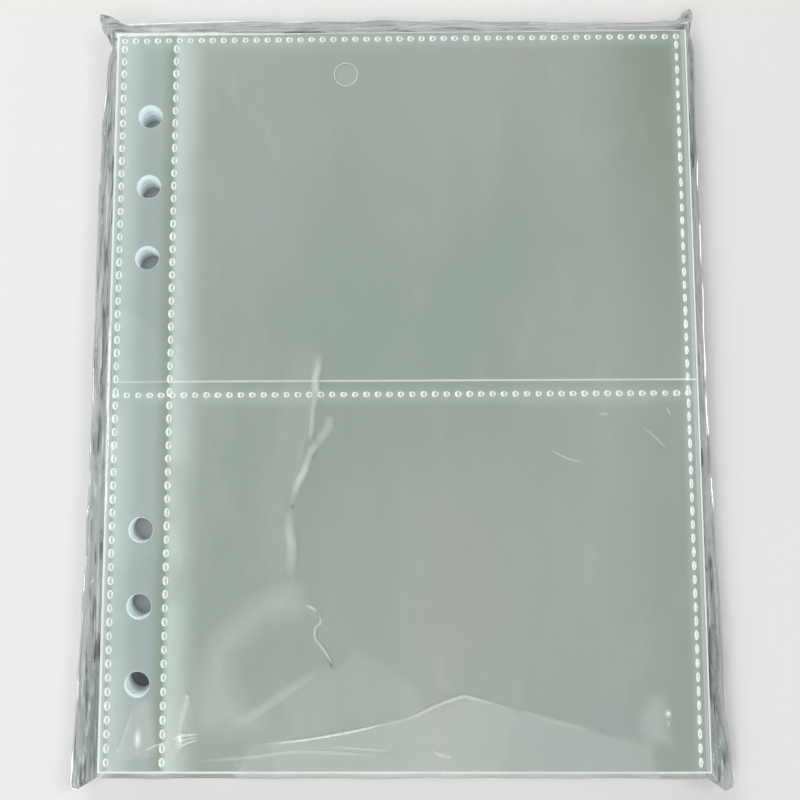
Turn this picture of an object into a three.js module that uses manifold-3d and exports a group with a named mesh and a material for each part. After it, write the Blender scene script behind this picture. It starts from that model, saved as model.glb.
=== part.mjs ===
// A pack of clear two-pocket pages for a six-ring A5 binder, lying flat in its resealable film bag.
// Millimetres. +Z up, +Y towards the closed end of the bag, the ring holes on the -X side.
import * as THREE from "three";
import { mergeGeometries, mergeVertices } from "three/addons/utils/BufferGeometryUtils.js";
import Module from "manifold-3d";

// Page
const pageWidth = 151;
const pageHeight = 190;
const pageCount = 25;
const backFilm = 0.15;
const pocketFilm = 0.15;
const pocketGap = 0.06; // how far the two films stand apart inside an empty pocket
const pageAir = 0.04; // between one page and the next

// Ring holes: two groups of three
const ringHoleDiameter = 6.2;
const ringHoleSides = 8;
const ringHoleFromEdge = 9.4;
const ringHolePitch = 19;
const ringGroupGap = 70; // between the inner holes of the two groups
const ringHolesBelowMiddle = 0.7; // middle of the six holes below the middle of the page

// Weld lines, each measured from the page edge beside it
const topWeldInset = 1.9;
const leftWeldInset = 1.7;
const rightWeldInset = 2.7;
const bindingStripWidth = 16.1; // from the left edge to the weld that closes the strip
const mouthAboveMiddle = 1.9; // mouth of the upper pocket
const dividerBelowMouth = 3.5; // weld that closes the lower pocket, below that mouth
const mouthSlit = 0.3; // between the two pocket films
const weldLand = 2.4; // width of the band in which the films are fused

// Weld dots
const rowDotPitch = 3.0;
const columnDotPitch = 3.3;
const dotLength = 2.0;
const dotWidth = 1.3;
const dotDepth = 0.05;
const dotSides = 6;

// Bag
const bagFilm = 0.05;
const bagSideSlack = 0.3; // page edge to the fold of the film, at the sides
const bottomEndSlack = 0.7; // the same at the closed end
const mouthEndSlack = 1.0; // the same at the mouth
const filmOverPages = 0.2;
const filmUnderPages = 0.1;
const sideWeldHeight = 4.7; // middle of the weld above the surface that the pack lies on
const sideWeldThickness = 0.2;
const sideWeldWidth = 0.8;
const leftReach = 5.9; // page edge to the weld at half height
const rightReach = 2.8;
const bottomReach = 6.0; // page edge to the fold of the closed end
const leftBottomEar = new THREE.Vector2(6.8, 8.5); // ear tips, measured outwards from the page corners
const rightBottomEar = new THREE.Vector2(3.4, 8.4);
const leftMouthEar = new THREE.Vector2(8.3, 5.4);
const rightMouthEar = new THREE.Vector2(6.5, 5.6);
const mouthFold = 2.7; // page edge to the film at seam height between the mouth ears
const outlineSteps = 7; // straight steps along each curved side of the outline
const ventDiameter = 6.2;
const ventLeftOfMiddle = 14.5;
const ventFromTopEdge = 11.7;
const ventSides = 20;

// Resealable mouth
const mouthPanelBulge = 1.5;
const mouthPanelSteps = 6;
const mouthClearance = 0.1; // from the mouth panel to the edges of the bag and the flap
const flapLength = 36;
const flapTaper = 3; // how much narrower the free edge is, on each side
const flapEdgeSlack = 0.5; // free edge of the flap to the step in the back panel above it
const adhesiveWidth = 9;
const adhesiveThickness = 0.05;
const adhesiveFromFreeEdge = 2;
const adhesiveEndMargin = 5;

// Levels
const pageThickness = backFilm + pocketGap + pocketFilm;
const pagePitch = pageThickness + pageAir;
const flapTop = bagFilm;
const backPanelOverFlap = flapTop + adhesiveThickness; // underside of the back panel above the flap
const lowestPage = backPanelOverFlap + bagFilm + filmUnderPages;
const highestFace = lowestPage + pageCount * pagePitch - pageAir;
const frontPanelTop = highestFace + filmOverPages + bagFilm;

// Page edges and weld lines, from the middle of the page
const leftEdge = -pageWidth / 2;
const rightEdge = pageWidth / 2;
const topEdge = pageHeight / 2;
const bottomEdge = -pageHeight / 2;
const leftWeld = leftEdge + leftWeldInset;
const stripWeld = leftEdge + bindingStripWidth;
const rightWeld = rightEdge - rightWeldInset;
const topWeld = topEdge - topWeldInset;
const upperMouth = mouthAboveMiddle;
const dividerWeld = upperMouth - dividerBelowMouth;

// Straight folds of the bag film round the stack
const fold = {
  left: leftEdge - bagSideSlack,
  right: rightEdge + bagSideSlack,
  bottomEnd: topEdge + bottomEndSlack,
  mouth: bottomEdge - mouthEndSlack,
};
const flapFoldLine = fold.mouth - mouthClearance;
const cutMargin = 5; // how far a cutting block runs past what it cuts

const wasm = await Module();
wasm.setup();

function toSolid(geometry) {
  const bare = geometry.clone();
  bare.deleteAttribute("normal");
  bare.deleteAttribute("uv");
  const merged = mergeVertices(bare, 1e-5);
  return new wasm.Manifold(
    new wasm.Mesh({
      numProp: 3,
      vertProperties: new Float32Array(merged.attributes.position.array),
      triVerts: new Uint32Array(merged.index.array),
    }),
  );
}

function toGeometry(solid) {
  const mesh = solid.getMesh();
  const geometry = new THREE.BufferGeometry();
  geometry.setAttribute("position", new THREE.BufferAttribute(mesh.vertProperties, 3));
  geometry.setIndex(new THREE.BufferAttribute(mesh.triVerts, 1));
  geometry.computeVertexNormals();
  return geometry;
}

// An upright block between two corners, as a solid
function block(low, high) {
  const size = new THREE.Vector3().subVectors(high, low);
  const middle = new THREE.Vector3().addVectors(low, high).multiplyScalar(0.5);
  const box = new THREE.BoxGeometry(size.x, size.y, size.z);
  return toSolid(box.translate(middle.x, middle.y, middle.z));
}

function at(x, y, z) {
  return new THREE.Vector3(x, y, z);
}

function ringHoleHeights() {
  const inner = ringGroupGap / 2;
  const group = [0, 1, 2].map((step) => inner + step * ringHolePitch);
  return [...group.map((y) => -y), ...group].map((y) => y - ringHolesBelowMiddle);
}

// A sheet of the page's width between two heights, punched where a ring hole falls in it
function filmShape(low, high) {
  const shape = new THREE.Shape([
    new THREE.Vector2(leftEdge, low),
    new THREE.Vector2(rightEdge, low),
    new THREE.Vector2(rightEdge, high),
    new THREE.Vector2(leftEdge, high),
  ]);
  const flatToFlat = ringHoleDiameter / 2 / Math.cos(Math.PI / ringHoleSides);
  for (const height of ringHoleHeights().filter((y) => y > low && y < high)) {
    const corners = Array.from({ length: ringHoleSides }, (_, corner) => {
      const angle = ((corner + 0.5) / ringHoleSides) * 2 * Math.PI;
      return new THREE.Vector2(
        leftEdge + ringHoleFromEdge + flatToFlat * Math.cos(angle),
        height + flatToFlat * Math.sin(angle),
      );
    });
    shape.holes.push(new THREE.Path(corners));
  }
  return shape;
}

function sheet(low, high, thickness) {
  return new THREE.ExtrudeGeometry(filmShape(low, high), { depth: thickness, bevelEnabled: false });
}

// The space inside a pocket, open towards the mouth: welded on both sides and at the closed end
function pocketSpace(mouth, closedWeld, floor) {
  return block(
    at(stripWeld + weldLand / 2, mouth, floor),
    at(rightWeld - weldLand / 2, closedWeld - weldLand / 2, floor + pocketGap),
  );
}

// One page pressed flat: back film and both pocket films, fused along the weld lines
function pageGeometry() {
  const upper = pocketSpace(upperMouth - mouthSlit / 2, topWeld, backFilm);
  const lower = pocketSpace(bottomEdge - cutMargin, dividerWeld, backFilm);
  const slit = block(
    at(leftWeld + weldLand, upperMouth - mouthSlit / 2, backFilm),
    at(rightEdge + cutMargin, upperMouth + mouthSlit / 2, pageThickness + cutMargin),
  );
  const plate = toSolid(sheet(bottomEdge, topEdge, pageThickness));
  return toGeometry(plate.subtract(upper).subtract(lower).subtract(slit));
}

// Evenly spread places between two ends, as near to the pitch as whole steps allow
function spread(from, to, pitch) {
  const steps = Math.max(1, Math.round(Math.abs(to - from) / pitch));
  return Array.from({ length: steps + 1 }, (_, step) => from + ((to - from) * step) / steps);
}

// The dents of one weld row or column, as a cutting tool above and below the film's face
function weldDot(x, y, alongRow, face) {
  const dent = new THREE.CylinderGeometry(0.5, 0.5, 2 * dotDepth, dotSides);
  dent.rotateX(Math.PI / 2);
  if (alongRow) {
    dent.scale(dotWidth, dotLength, 1);
    dent.rotateZ(Math.PI / 2);
  } else {
    dent.scale(dotWidth, dotLength, 1);
  }
  return dent.translate(x, y, face);
}

function weldColumns(low, high, face) {
  const heights = spread(low + dotLength, high - dotLength, columnDotPitch);
  return [leftWeld, stripWeld, rightWeld].flatMap((x) =>
    heights.map((y) => weldDot(x, y, false, face)),
  );
}

function weldRow(y, face) {
  const ends = [leftWeld - dotWidth / 4, rightWeld + dotWidth / 4];
  return spread(...ends, rowDotPitch).map((x) => weldDot(x, y, true, face));
}

// A pocket film of the top page: raised over its pocket, down on the back film at its welds,
// dented where the welding tool pressed it
function pocketFilmGeometry(low, high, mouth, closedWeld) {
  const thickness = pocketGap + pocketFilm;
  const space = pocketSpace(mouth, closedWeld, 0);
  const dots = [
    ...weldColumns(low, closedWeld - dotWidth, thickness),
    ...weldRow(closedWeld, thickness),
  ];
  const film = toSolid(sheet(low, high, thickness));
  return toGeometry(film.subtract(space).subtract(toSolid(mergeGeometries(dots))));
}

// Curve along one side of the bag's outline, through its two ear tips and its narrowest point
function sideCurve(from, middle, to) {
  const control = middle.clone().multiplyScalar(2).sub(from.clone().add(to).multiplyScalar(0.5));
  return new THREE.QuadraticBezierCurve(from, control, to).getPoints(outlineSteps).slice(0, -1);
}

// Where the two halves of the bag meet, anticlockwise from the left ear of the mouth, drawn in by inset
function outlinePoints(inset) {
  const leftMouth = new THREE.Vector2(
    leftEdge - leftMouthEar.x + inset,
    bottomEdge - leftMouthEar.y + inset,
  );
  const rightMouth = new THREE.Vector2(
    rightEdge + rightMouthEar.x - inset,
    bottomEdge - rightMouthEar.y + inset,
  );
  const rightBottom = new THREE.Vector2(
    rightEdge + rightBottomEar.x - inset,
    topEdge + rightBottomEar.y - inset,
  );
  const leftBottom = new THREE.Vector2(
    leftEdge - leftBottomEar.x + inset,
    topEdge + leftBottomEar.y - inset,
  );
  const mouthLine = bottomEdge - mouthFold + inset;
  return [
    leftMouth,
    new THREE.Vector2(fold.left + inset, mouthLine),
    new THREE.Vector2(fold.right - inset, mouthLine),
    ...sideCurve(rightMouth, new THREE.Vector2(rightEdge + rightReach - inset, 0), rightBottom),
    ...sideCurve(rightBottom, new THREE.Vector2(0, topEdge + bottomReach - inset), leftBottom),
    ...sideCurve(leftBottom, new THREE.Vector2(leftEdge - leftReach + inset, 0), leftMouth),
  ];
}

// The straight folds round the stack, with a point for each point of the outline
function foldPoints(inset) {
  const left = fold.left + inset;
  const right = fold.right - inset;
  const mouth = fold.mouth + inset;
  const end = fold.bottomEnd - inset;
  const edge = (from, to) =>
    Array.from({ length: outlineSteps }, (_, step) =>
      new THREE.Vector2().lerpVectors(from, to, step / outlineSteps),
    );
  const corner = (x, y) => new THREE.Vector2(x, y);
  const shortStep = (right - left) / outlineSteps / 2;
  return [
    corner(left, mouth),
    corner(left + shortStep, mouth),
    corner(right - shortStep, mouth),
    ...edge(corner(right, mouth), corner(right, end)),
    ...edge(corner(right, end), corner(left, end)),
    ...edge(corner(left, end), corner(left, mouth)),
  ];
}

// A closed solid through rings of equally many points, lowest ring first
function loft(rings) {
  const count = rings[0].points.length;
  const vertices = rings.flatMap(({ points, z }) => points.map((point) => [point.x, point.y, z]));
  const triangles = [];
  for (let ring = 0; ring + 1 < rings.length; ring += 1) {
    for (let i = 0; i < count; i += 1) {
      const next = (i + 1) % count;
      const low = ring * count;
      const high = low + count;
      triangles.push([low + i, low + next, high + next], [low + i, high + next, high + i]);
    }
  }
  const lowMiddle = vertices.push([0, 0, rings[0].z]) - 1;
  const highMiddle = vertices.push([0, 0, rings[rings.length - 1].z]) - 1;
  const top = (rings.length - 1) * count;
  for (let i = 0; i < count; i += 1) {
    const next = (i + 1) % count;
    triangles.push([lowMiddle, next, i], [highMiddle, top + i, top + next]);
  }
  const geometry = new THREE.BufferGeometry();
  geometry.setAttribute("position", new THREE.Float32BufferAttribute(vertices.flat(), 3));
  geometry.setIndex(triangles.flat());
  return toSolid(geometry);
}

// Half of the bag as a thin shell, with its panel at panelFace and its rim on the side welds.
// up is 1 for the front half and -1 for the back half.
function halfShell(panelFace, up) {
  const rim = sideWeldHeight + (up * sideWeldThickness) / 2;
  const rings = (inset, face, past) => [
    { points: outlinePoints(inset), z: rim - up * past },
    { points: outlinePoints(inset), z: rim },
    { points: foldPoints(inset), z: face },
  ];
  const ordered = (list) => (up > 0 ? list : list.reverse());
  const outer = loft(ordered(rings(0, panelFace, 0).slice(1)));
  const inner = loft(ordered(rings(bagFilm, panelFace - up * bagFilm, cutMargin)));
  const mouth = block(
    at(fold.left + bagFilm, bottomEdge - pageHeight, -cutMargin),
    at(fold.right - bagFilm, fold.mouth + bagFilm, frontPanelTop + cutMargin),
  );
  return outer.subtract(inner).subtract(mouth);
}

// The back panel lies flat and steps up where the flap and its adhesive are under it
function steppedOverFlap(panel) {
  const left = fold.left + bagFilm;
  const right = fold.right - bagFilm;
  const step = flapFoldLine + flapLength + flapEdgeSlack;
  const top = backPanelOverFlap + bagFilm;
  const overFlap = block(at(-pageWidth, -pageHeight, -cutMargin), at(pageWidth, step, cutMargin));
  const riser = block(at(left, step, 0), at(right, step + bagFilm, top));
  const raised = block(
    at(left, fold.mouth + bagFilm, backPanelOverFlap),
    at(right, step + bagFilm, top),
  );
  return panel.subtract(overFlap).add(riser).add(raised);
}

// The shell's four panels, parted along the straight folds
function panels(shell) {
  const reach = pageHeight;
  const column = (low, high) =>
    shell.intersect(block(at(low, -reach, -reach), at(high, reach, reach)));
  const middle = column(fold.left + bagFilm, fold.right - bagFilm);
  const above = block(at(-reach, fold.bottomEnd - bagFilm, -reach), at(reach, reach, reach));
  return {
    panel: middle.subtract(above),
    bottomEnd: middle.intersect(above),
    leftSide: column(-reach, fold.left + bagFilm),
    rightSide: column(fold.right - bagFilm, reach),
  };
}

// A flat ribbon of the side weld between two corners of the outline
function weldRibbon(keep) {
  const flat = (inset) => new THREE.Shape(outlinePoints(inset));
  const plate = (shape, depth) =>
    toSolid(new THREE.ExtrudeGeometry(shape, { depth, bevelEnabled: false }));
  const base = sideWeldHeight - sideWeldThickness / 2;
  const band = plate(flat(0), sideWeldThickness)
    .subtract(plate(flat(sideWeldWidth), sideWeldThickness + cutMargin))
    .translate([0, 0, base]);
  return band.intersect(keep);
}

function seamBlock(lowX, highX, lowY, highY) {
  return block(at(lowX, lowY, 0), at(highX, highY, frontPanelTop));
}

// Turns a section drawn in Y and Z into a solid that runs along X
function alongX(shape, length) {
  const geometry = new THREE.ExtrudeGeometry(shape, { depth: length, bevelEnabled: false });
  const turn = new THREE.Matrix4().makeBasis(at(0, 1, 0), at(0, 0, 1), at(1, 0, 0));
  return geometry.applyMatrix4(turn).translate(-length / 2, 0, 0);
}

const mouthPanelWidth = pageWidth - 2 * mouthClearance;

// The film that folds down over the ends of the pages, bulging a little
function mouthPanelGeometry() {
  const top = frontPanelTop - mouthClearance;
  const low = flapTop + mouthClearance;
  const middle = (top + low) / 2;
  const arc = (offset, from, to) =>
    new THREE.QuadraticBezierCurve(
      new THREE.Vector2(flapFoldLine - offset, from),
      new THREE.Vector2(flapFoldLine - offset - 2 * mouthPanelBulge, middle),
      new THREE.Vector2(flapFoldLine - offset, to),
    ).getPoints(mouthPanelSteps);
  return alongX(new THREE.Shape([...arc(0, top, low), ...arc(bagFilm, low, top)]), mouthPanelWidth);
}

function flapGeometry() {
  const half = mouthPanelWidth / 2;
  const shape = new THREE.Shape([
    new THREE.Vector2(-half, flapFoldLine),
    new THREE.Vector2(half, flapFoldLine),
    new THREE.Vector2(half - flapTaper, flapFoldLine + flapLength),
    new THREE.Vector2(-half + flapTaper, flapFoldLine + flapLength),
  ]);
  return new THREE.ExtrudeGeometry(shape, { depth: bagFilm, bevelEnabled: false });
}

function adhesiveGeometry() {
  const length = mouthPanelWidth - 2 * (flapTaper + adhesiveEndMargin);
  const tape = new THREE.BoxGeometry(length, adhesiveWidth, adhesiveThickness);
  const y = flapFoldLine + flapLength - adhesiveFromFreeEdge - adhesiveWidth / 2;
  return tape.translate(0, y, flapTop + adhesiveThickness / 2);
}

function material(color, roughness, opacity) {
  return new THREE.MeshStandardMaterial({
    color,
    roughness,
    metalness: 0,
    opacity,
    transparent: opacity < 1,
  });
}

function named(name, geometry, finish, z = 0) {
  const mesh = new THREE.Mesh(geometry, finish);
  mesh.name = name;
  mesh.position.z = z;
  return mesh;
}

function bag() {
  const group = new THREE.Group();
  const clearFilm = () => material(0xe6ecea, 0.12, 0.25);
  const ventCut = new THREE.CylinderGeometry(
    ventDiameter / 2,
    ventDiameter / 2,
    2 * cutMargin,
    ventSides,
  );
  ventCut.rotateX(Math.PI / 2);
  const front = panels(halfShell(frontPanelTop, 1));
  const back = panels(halfShell(0, -1));
  ventCut.translate(-ventLeftOfMiddle, topEdge - ventFromTopEdge, frontPanelTop);
  const parts = {
    bag_front_panel: front.panel.subtract(toSolid(ventCut)),
    bag_front_left_side: front.leftSide,
    bag_front_right_side: front.rightSide,
    bag_front_bottom_end: front.bottomEnd,
    bag_back_panel: steppedOverFlap(back.panel),
    bag_back_left_side: back.leftSide,
    bag_back_right_side: back.rightSide,
    bag_back_bottom_end: back.bottomEnd,
  };
  for (const [name, solid] of Object.entries(parts)) {
    group.add(named(name, toGeometry(solid), clearFilm()));
  }
  const reach = pageHeight;
  const welds = {
    left_side_weld: seamBlock(-reach, fold.left, -reach, reach),
    right_side_weld: seamBlock(fold.right, reach, -reach, reach),
    bottom_fold: seamBlock(fold.left, fold.right, 0, reach),
  };
  for (const [name, keep] of Object.entries(welds)) {
    group.add(named(name, toGeometry(weldRibbon(keep)), clearFilm()));
  }
  group.add(named("mouth_panel", mouthPanelGeometry(), clearFilm()));
  group.add(named("seal_flap", flapGeometry(), clearFilm()));
  group.add(named("adhesive_strip", adhesiveGeometry(), material(0xd9dccf, 0.4, 0.6)));
  return group;
}

function topPage() {
  const group = new THREE.Group();
  const frosted = () => material(0xa4b0a8, 0.35, 0.6);
  const half = mouthSlit / 2;
  group.position.z = lowestPage + (pageCount - 1) * pagePitch;
  group.add(named("page_01_back_film", sheet(bottomEdge, topEdge, backFilm), frosted()));
  group.add(
    named(
      "page_01_upper_pocket_film",
      pocketFilmGeometry(upperMouth + half, topEdge, upperMouth - cutMargin, topWeld),
      frosted(),
      backFilm,
    ),
    named(
      "page_01_lower_pocket_film",
      pocketFilmGeometry(bottomEdge, upperMouth - half, bottomEdge - cutMargin, dividerWeld),
      frosted(),
      backFilm,
    ),
  );
  return group;
}

function lowerPages() {
  const group = new THREE.Group();
  const geometry = pageGeometry();
  for (let number = 2; number <= pageCount; number += 1) {
    const name = `page_${String(number).padStart(2, "0")}`;
    const z = lowestPage + (pageCount - number) * pagePitch;
    group.add(named(name, geometry, material(0xa4b0a8, 0.35, 0.6), z));
  }
  return group;
}

// The frame's origin is under the middle of the pack's outline
function packOffset() {
  const box = new THREE.Box2().setFromPoints(outlinePoints(0));
  return box.getCenter(new THREE.Vector2()).negate();
}

const pack = new THREE.Group();
pack.add(bag(), topPage(), lowerPages());
pack.position.set(packOffset().x, packOffset().y, 0);

export default pack;
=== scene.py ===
"""Looks of a pack of clear binder pages in a resealable film bag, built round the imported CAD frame.

Lengths are metres in the row frame: +Z up, +Y towards the closed end of the bag, ring holes on -X.
"""

import logging
import math
import random
from dataclasses import dataclass, field
from enum import Enum
from typing import Iterable, Sequence

import bpy
import numpy as np
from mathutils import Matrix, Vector
from mathutils.geometry import delaunay_2d_cdt

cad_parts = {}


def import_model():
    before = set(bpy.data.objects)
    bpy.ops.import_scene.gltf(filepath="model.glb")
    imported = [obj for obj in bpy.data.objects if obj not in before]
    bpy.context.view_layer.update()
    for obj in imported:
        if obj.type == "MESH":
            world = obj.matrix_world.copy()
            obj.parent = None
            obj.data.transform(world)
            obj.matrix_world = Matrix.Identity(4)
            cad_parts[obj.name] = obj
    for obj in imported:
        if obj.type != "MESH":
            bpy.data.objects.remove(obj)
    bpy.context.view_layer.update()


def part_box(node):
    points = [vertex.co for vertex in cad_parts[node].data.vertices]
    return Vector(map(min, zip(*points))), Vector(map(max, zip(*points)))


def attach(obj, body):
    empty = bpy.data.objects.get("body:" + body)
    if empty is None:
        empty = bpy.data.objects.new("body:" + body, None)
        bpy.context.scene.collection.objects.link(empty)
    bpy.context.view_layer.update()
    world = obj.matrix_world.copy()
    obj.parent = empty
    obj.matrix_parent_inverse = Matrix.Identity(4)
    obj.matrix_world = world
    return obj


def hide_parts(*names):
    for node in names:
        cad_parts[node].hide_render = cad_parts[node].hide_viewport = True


LOG = logging.getLogger("binder_pages")
MM = 0.001
FLAT_SPACING = 40 * MM
FILM_IOR = 1.49

Colour = tuple[float, float, float]
Point2 = tuple[float, float]


class Body(Enum):
    """The moving bodies of the frame that pieces ride on."""

    BAG = "bag"
    MOUTH_PANEL = "mouth_panel"
    FLAP = "seal_flap"
    PAGES = "pages"
    TOP_PAGE = "top_page"


class Slot(Enum):
    """The record's material slots."""

    PAGE = "frosted_page_film"
    BAG = "clear_bag_film"
    ADHESIVE = "clear_adhesive"


class Side(Enum):
    """The two halves of the bag."""

    FRONT = 1
    BACK = -1


class Mark(Enum):
    """Values that a film's mesh carries from point to point for its material."""

    # Painted light: the share of painted reflection and painted highlight that a film shows.
    HAZE = "film_painted_light"
    BAND = "film_band"
    PLACE = "film_place"


def srgb(red: int, green: int, blue: int) -> Colour:
    """Turn a display colour of 0 to 255 into the linear colour that a shader takes.

    Args:
        red: Red as displayed.
        green: Green as displayed.
        blue: Blue as displayed.

    Returns:
        The three linear parts.
    """

    def linear(part: int) -> float:
        """Linear value of one displayed part."""
        value = part / 255
        return value / 12.92 if value <= 0.04045 else ((value + 0.055) / 1.055) ** 2.4

    return linear(red), linear(green), linear(blue)


def smooth_step(value: np.ndarray, low: float, high: float) -> np.ndarray:
    """Rise smoothly from 0 at low to 1 at high.

    Args:
        value: Where to evaluate.
        low: Where the rise starts.
        high: Where it ends.

    Returns:
        One weight for each value.
    """
    t = np.clip((value - low) / (high - low), 0.0, 1.0)
    return t * t * (3.0 - 2.0 * t)


def nearest_on_path(points: np.ndarray, path: Sequence[Point2]) -> tuple[np.ndarray, np.ndarray]:
    """Find the place on a path of straight stretches that is nearest to each point.

    Args:
        points: One row of x and y for each point.
        path: The corners of the path.

    Returns:
        The distance to the place, and how far along the path it is, from 0 to 1.
    """
    nearest, place, walked = np.full(len(points), np.inf), np.zeros(len(points)), 0.0
    for start, end in zip(path, path[1:]):
        a, b = np.array(start), np.array(end)
        along = b - a
        t = np.clip(((points - a) @ along) / (along @ along), 0.0, 1.0)
        away = np.linalg.norm(points - (a + t[:, None] * along), axis=1)
        length = float(np.linalg.norm(along))
        place = np.where(away < nearest, walked + t * length, place)
        nearest = np.minimum(nearest, away)
        walked += length
    return nearest, place / walked


def distance_to_path(points: np.ndarray, path: Sequence[Point2]) -> np.ndarray:
    """Measure how far points lie from a path of straight stretches."""
    return nearest_on_path(points, path)[0]


def within(points: np.ndarray, outline: Sequence[Point2]) -> np.ndarray:
    """Test points against a polygon by counting crossings.

    Args:
        points: One row of x and y for each point.
        outline: The polygon's corners.

    Returns:
        Whether each point lies inside.
    """
    x, y = points[:, 0], points[:, 1]
    odd = np.zeros(len(points), bool)
    for (x1, y1), (x2, y2) in zip(outline, [*outline[1:], outline[0]]):
        if y1 == y2:
            continue
        crosses = (y1 > y) != (y2 > y)
        odd ^= crosses & (x < (x2 - x1) * (y - y1) / (y2 - y1) + x1)
    return odd


def evenly(path: np.ndarray, steps: int) -> np.ndarray:
    """Share points out at equal distances along a path.

    Args:
        path: The path's points.
        steps: How many steps it is cut into.

    Returns:
        One point more than there are steps.
    """
    along = np.concatenate([[0.0], np.cumsum(np.linalg.norm(np.diff(path, axis=0), axis=1))])
    wanted = np.linspace(0.0, along[-1], steps + 1)
    return np.column_stack([np.interp(wanted, along, column) for column in path.T])


def smooth_path(corners: Sequence[Point2], fineness: int = 10) -> np.ndarray:
    """Draw a smooth curve through its corners.

    Args:
        corners: What it passes through.
        fineness: Points for each stretch.

    Returns:
        The curve's points.
    """
    through = np.array(corners, float)
    ends = np.vstack([2 * through[0] - through[1], through, 2 * through[-1] - through[-2]])
    t = np.linspace(0.0, 1.0, fineness, endpoint=False)[:, None]
    stretches = [
        b + 0.5 * t * (c - a + t * (2 * a - 5 * b + 4 * c - d + t * (3 * (b - c) + d - a)))
        for a, b, c, d in zip(ends, ends[1:], ends[2:], ends[3:])
    ]
    return np.vstack([*stretches, through[-1:]])


def undulation(points: np.ndarray, wavelength: float, seed: int, waves: int = 9) -> np.ndarray:
    """Sum soft waves in several directions, as slack film lies.

    Args:
        points: One row of x and y for each point.
        wavelength: Typical distance from crest to crest.
        seed: Fixes the directions and phases.
        waves: How many waves are summed.

    Returns:
        A height from about -1 to 1 for each point.
    """
    dice = random.Random(seed)
    total = np.zeros(len(points))
    for _ in range(waves):
        angle = dice.uniform(0.0, math.tau)
        length = wavelength * dice.uniform(0.7, 1.8)
        phase = dice.uniform(0.0, math.tau)
        along = points @ np.array([math.cos(angle), math.sin(angle)])
        total += np.sin(math.tau * along / length + phase)
    return total / math.sqrt(waves)


@dataclass(frozen=True)
class Region:
    """A flat region with holes, cut into triangles fine enough to be shaped."""

    outline: Sequence[Point2]
    holes: Sequence[Sequence[Point2]] = ()
    spacing: float = 2.0 * MM
    lines_x: Sequence[float] = ()
    lines_y: Sequence[float] = ()

    def inside(self, points: np.ndarray, margin: float) -> np.ndarray:
        """Say which points lie in the region, at least margin away from the holes' rims."""
        result = within(points, self.outline)
        for hole in self.holes:
            centre = np.mean(np.array(hole), axis=0)
            radius = np.linalg.norm(np.array(hole[0]) - centre)
            result &= np.linalg.norm(points - centre, axis=1) > radius + margin
        return result

    def _edge_points(self) -> list[Point2]:
        """Walk the outline with points no further apart than the spacing."""
        walked: list[Point2] = []
        for (x1, y1), (x2, y2) in zip(self.outline, [*self.outline[1:], self.outline[0]]):
            steps = max(1, math.ceil(math.hypot(x2 - x1, y2 - y1) / self.spacing))
            walked += [
                (x1 + (x2 - x1) * i / steps, y1 + (y2 - y1) * i / steps) for i in range(steps)
            ]
        return walked

    def triangles(self) -> tuple[np.ndarray, list[tuple[int, int, int]]]:
        """Cut the region into triangles.

        Returns:
            The points, one row each, and the corners of each triangle, anticlockwise.
        """
        rim = self._edge_points()
        low, high = np.min(rim, axis=0), np.max(rim, axis=0)
        xs = np.unique(np.round([*np.arange(low[0], high[0], self.spacing), *self.lines_x], 7))
        ys = np.unique(np.round([*np.arange(low[1], high[1], self.spacing), *self.lines_y], 7))
        grid = np.array(np.meshgrid(xs, ys)).reshape(2, -1).T
        step = self.spacing * 0.35
        near_rim = distance_to_path(grid, [*self.outline, self.outline[0]]) < step
        grid = grid[self.inside(grid, step) & ~near_rim]
        points = [*rim]
        edges = [(i, (i + 1) % len(rim)) for i in range(len(rim))]
        for hole in self.holes:
            first = len(points)
            points += hole
            edges += [(first + i, first + (i + 1) % len(hole)) for i in range(len(hole))]
        points += [tuple(p) for p in grid]
        flat, _, faces, *_ = delaunay_2d_cdt([Vector(p) for p in points], edges, [], 0, 1e-9)
        corners = np.array([(p.x, p.y) for p in flat])
        centres = np.array([corners[list(face)].mean(axis=0) for face in faces])
        kept = within(centres, self.outline)
        for hole in self.holes:
            kept &= ~within(centres, hole)
        return corners, [tuple(face) for face, keep in zip(faces, kept) if keep]


def circle(centre: Point2, radius: float, sides: int) -> list[Point2]:
    """Points round a circle, anticlockwise."""
    return [
        (
            centre[0] + radius * math.cos(math.tau * i / sides),
            centre[1] + radius * math.sin(math.tau * i / sides),
        )
        for i in range(sides)
    ]


def boundary_loops(faces: Iterable[Sequence[int]]) -> list[tuple[int, int]]:
    """Find the directed edges that belong to one face only."""
    edges = {(a, b) for face in faces for a, b in zip(face, [*face[1:], face[0]])}
    return [(a, b) for a, b in edges if (b, a) not in edges]


def closed_film(
    upper: np.ndarray, lower: np.ndarray, faces: list[tuple[int, int, int]]
) -> tuple[np.ndarray, list[tuple[int, ...]]]:
    """Close a film from its upper and lower faces.

    Args:
        upper: Points of the upper face.
        lower: The same points on the lower face.
        faces: Triangles of the upper face, anticlockwise from above.

    Returns:
        All points, and the faces of the closed film.
    """
    count = len(upper)
    walls = [(b, a, a + count, b + count) for a, b in boundary_loops(faces)]
    under = [tuple(i + count for i in reversed(face)) for face in faces]
    return np.vstack([upper, lower]), [*faces, *under, *walls]


def joined(
    parts: Sequence[tuple[np.ndarray, list[tuple[int, ...]]]],
) -> tuple[np.ndarray, list[tuple[int, ...]]]:
    """Join several meshes' points and faces into one list of each."""
    points: list[np.ndarray] = []
    faces: list[tuple[int, ...]] = []
    first = 0
    for part_points, part_faces in parts:
        points.append(part_points)
        faces += [tuple(i + first for i in face) for face in part_faces]
        first += len(part_points)
    return np.vstack(points), faces


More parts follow.
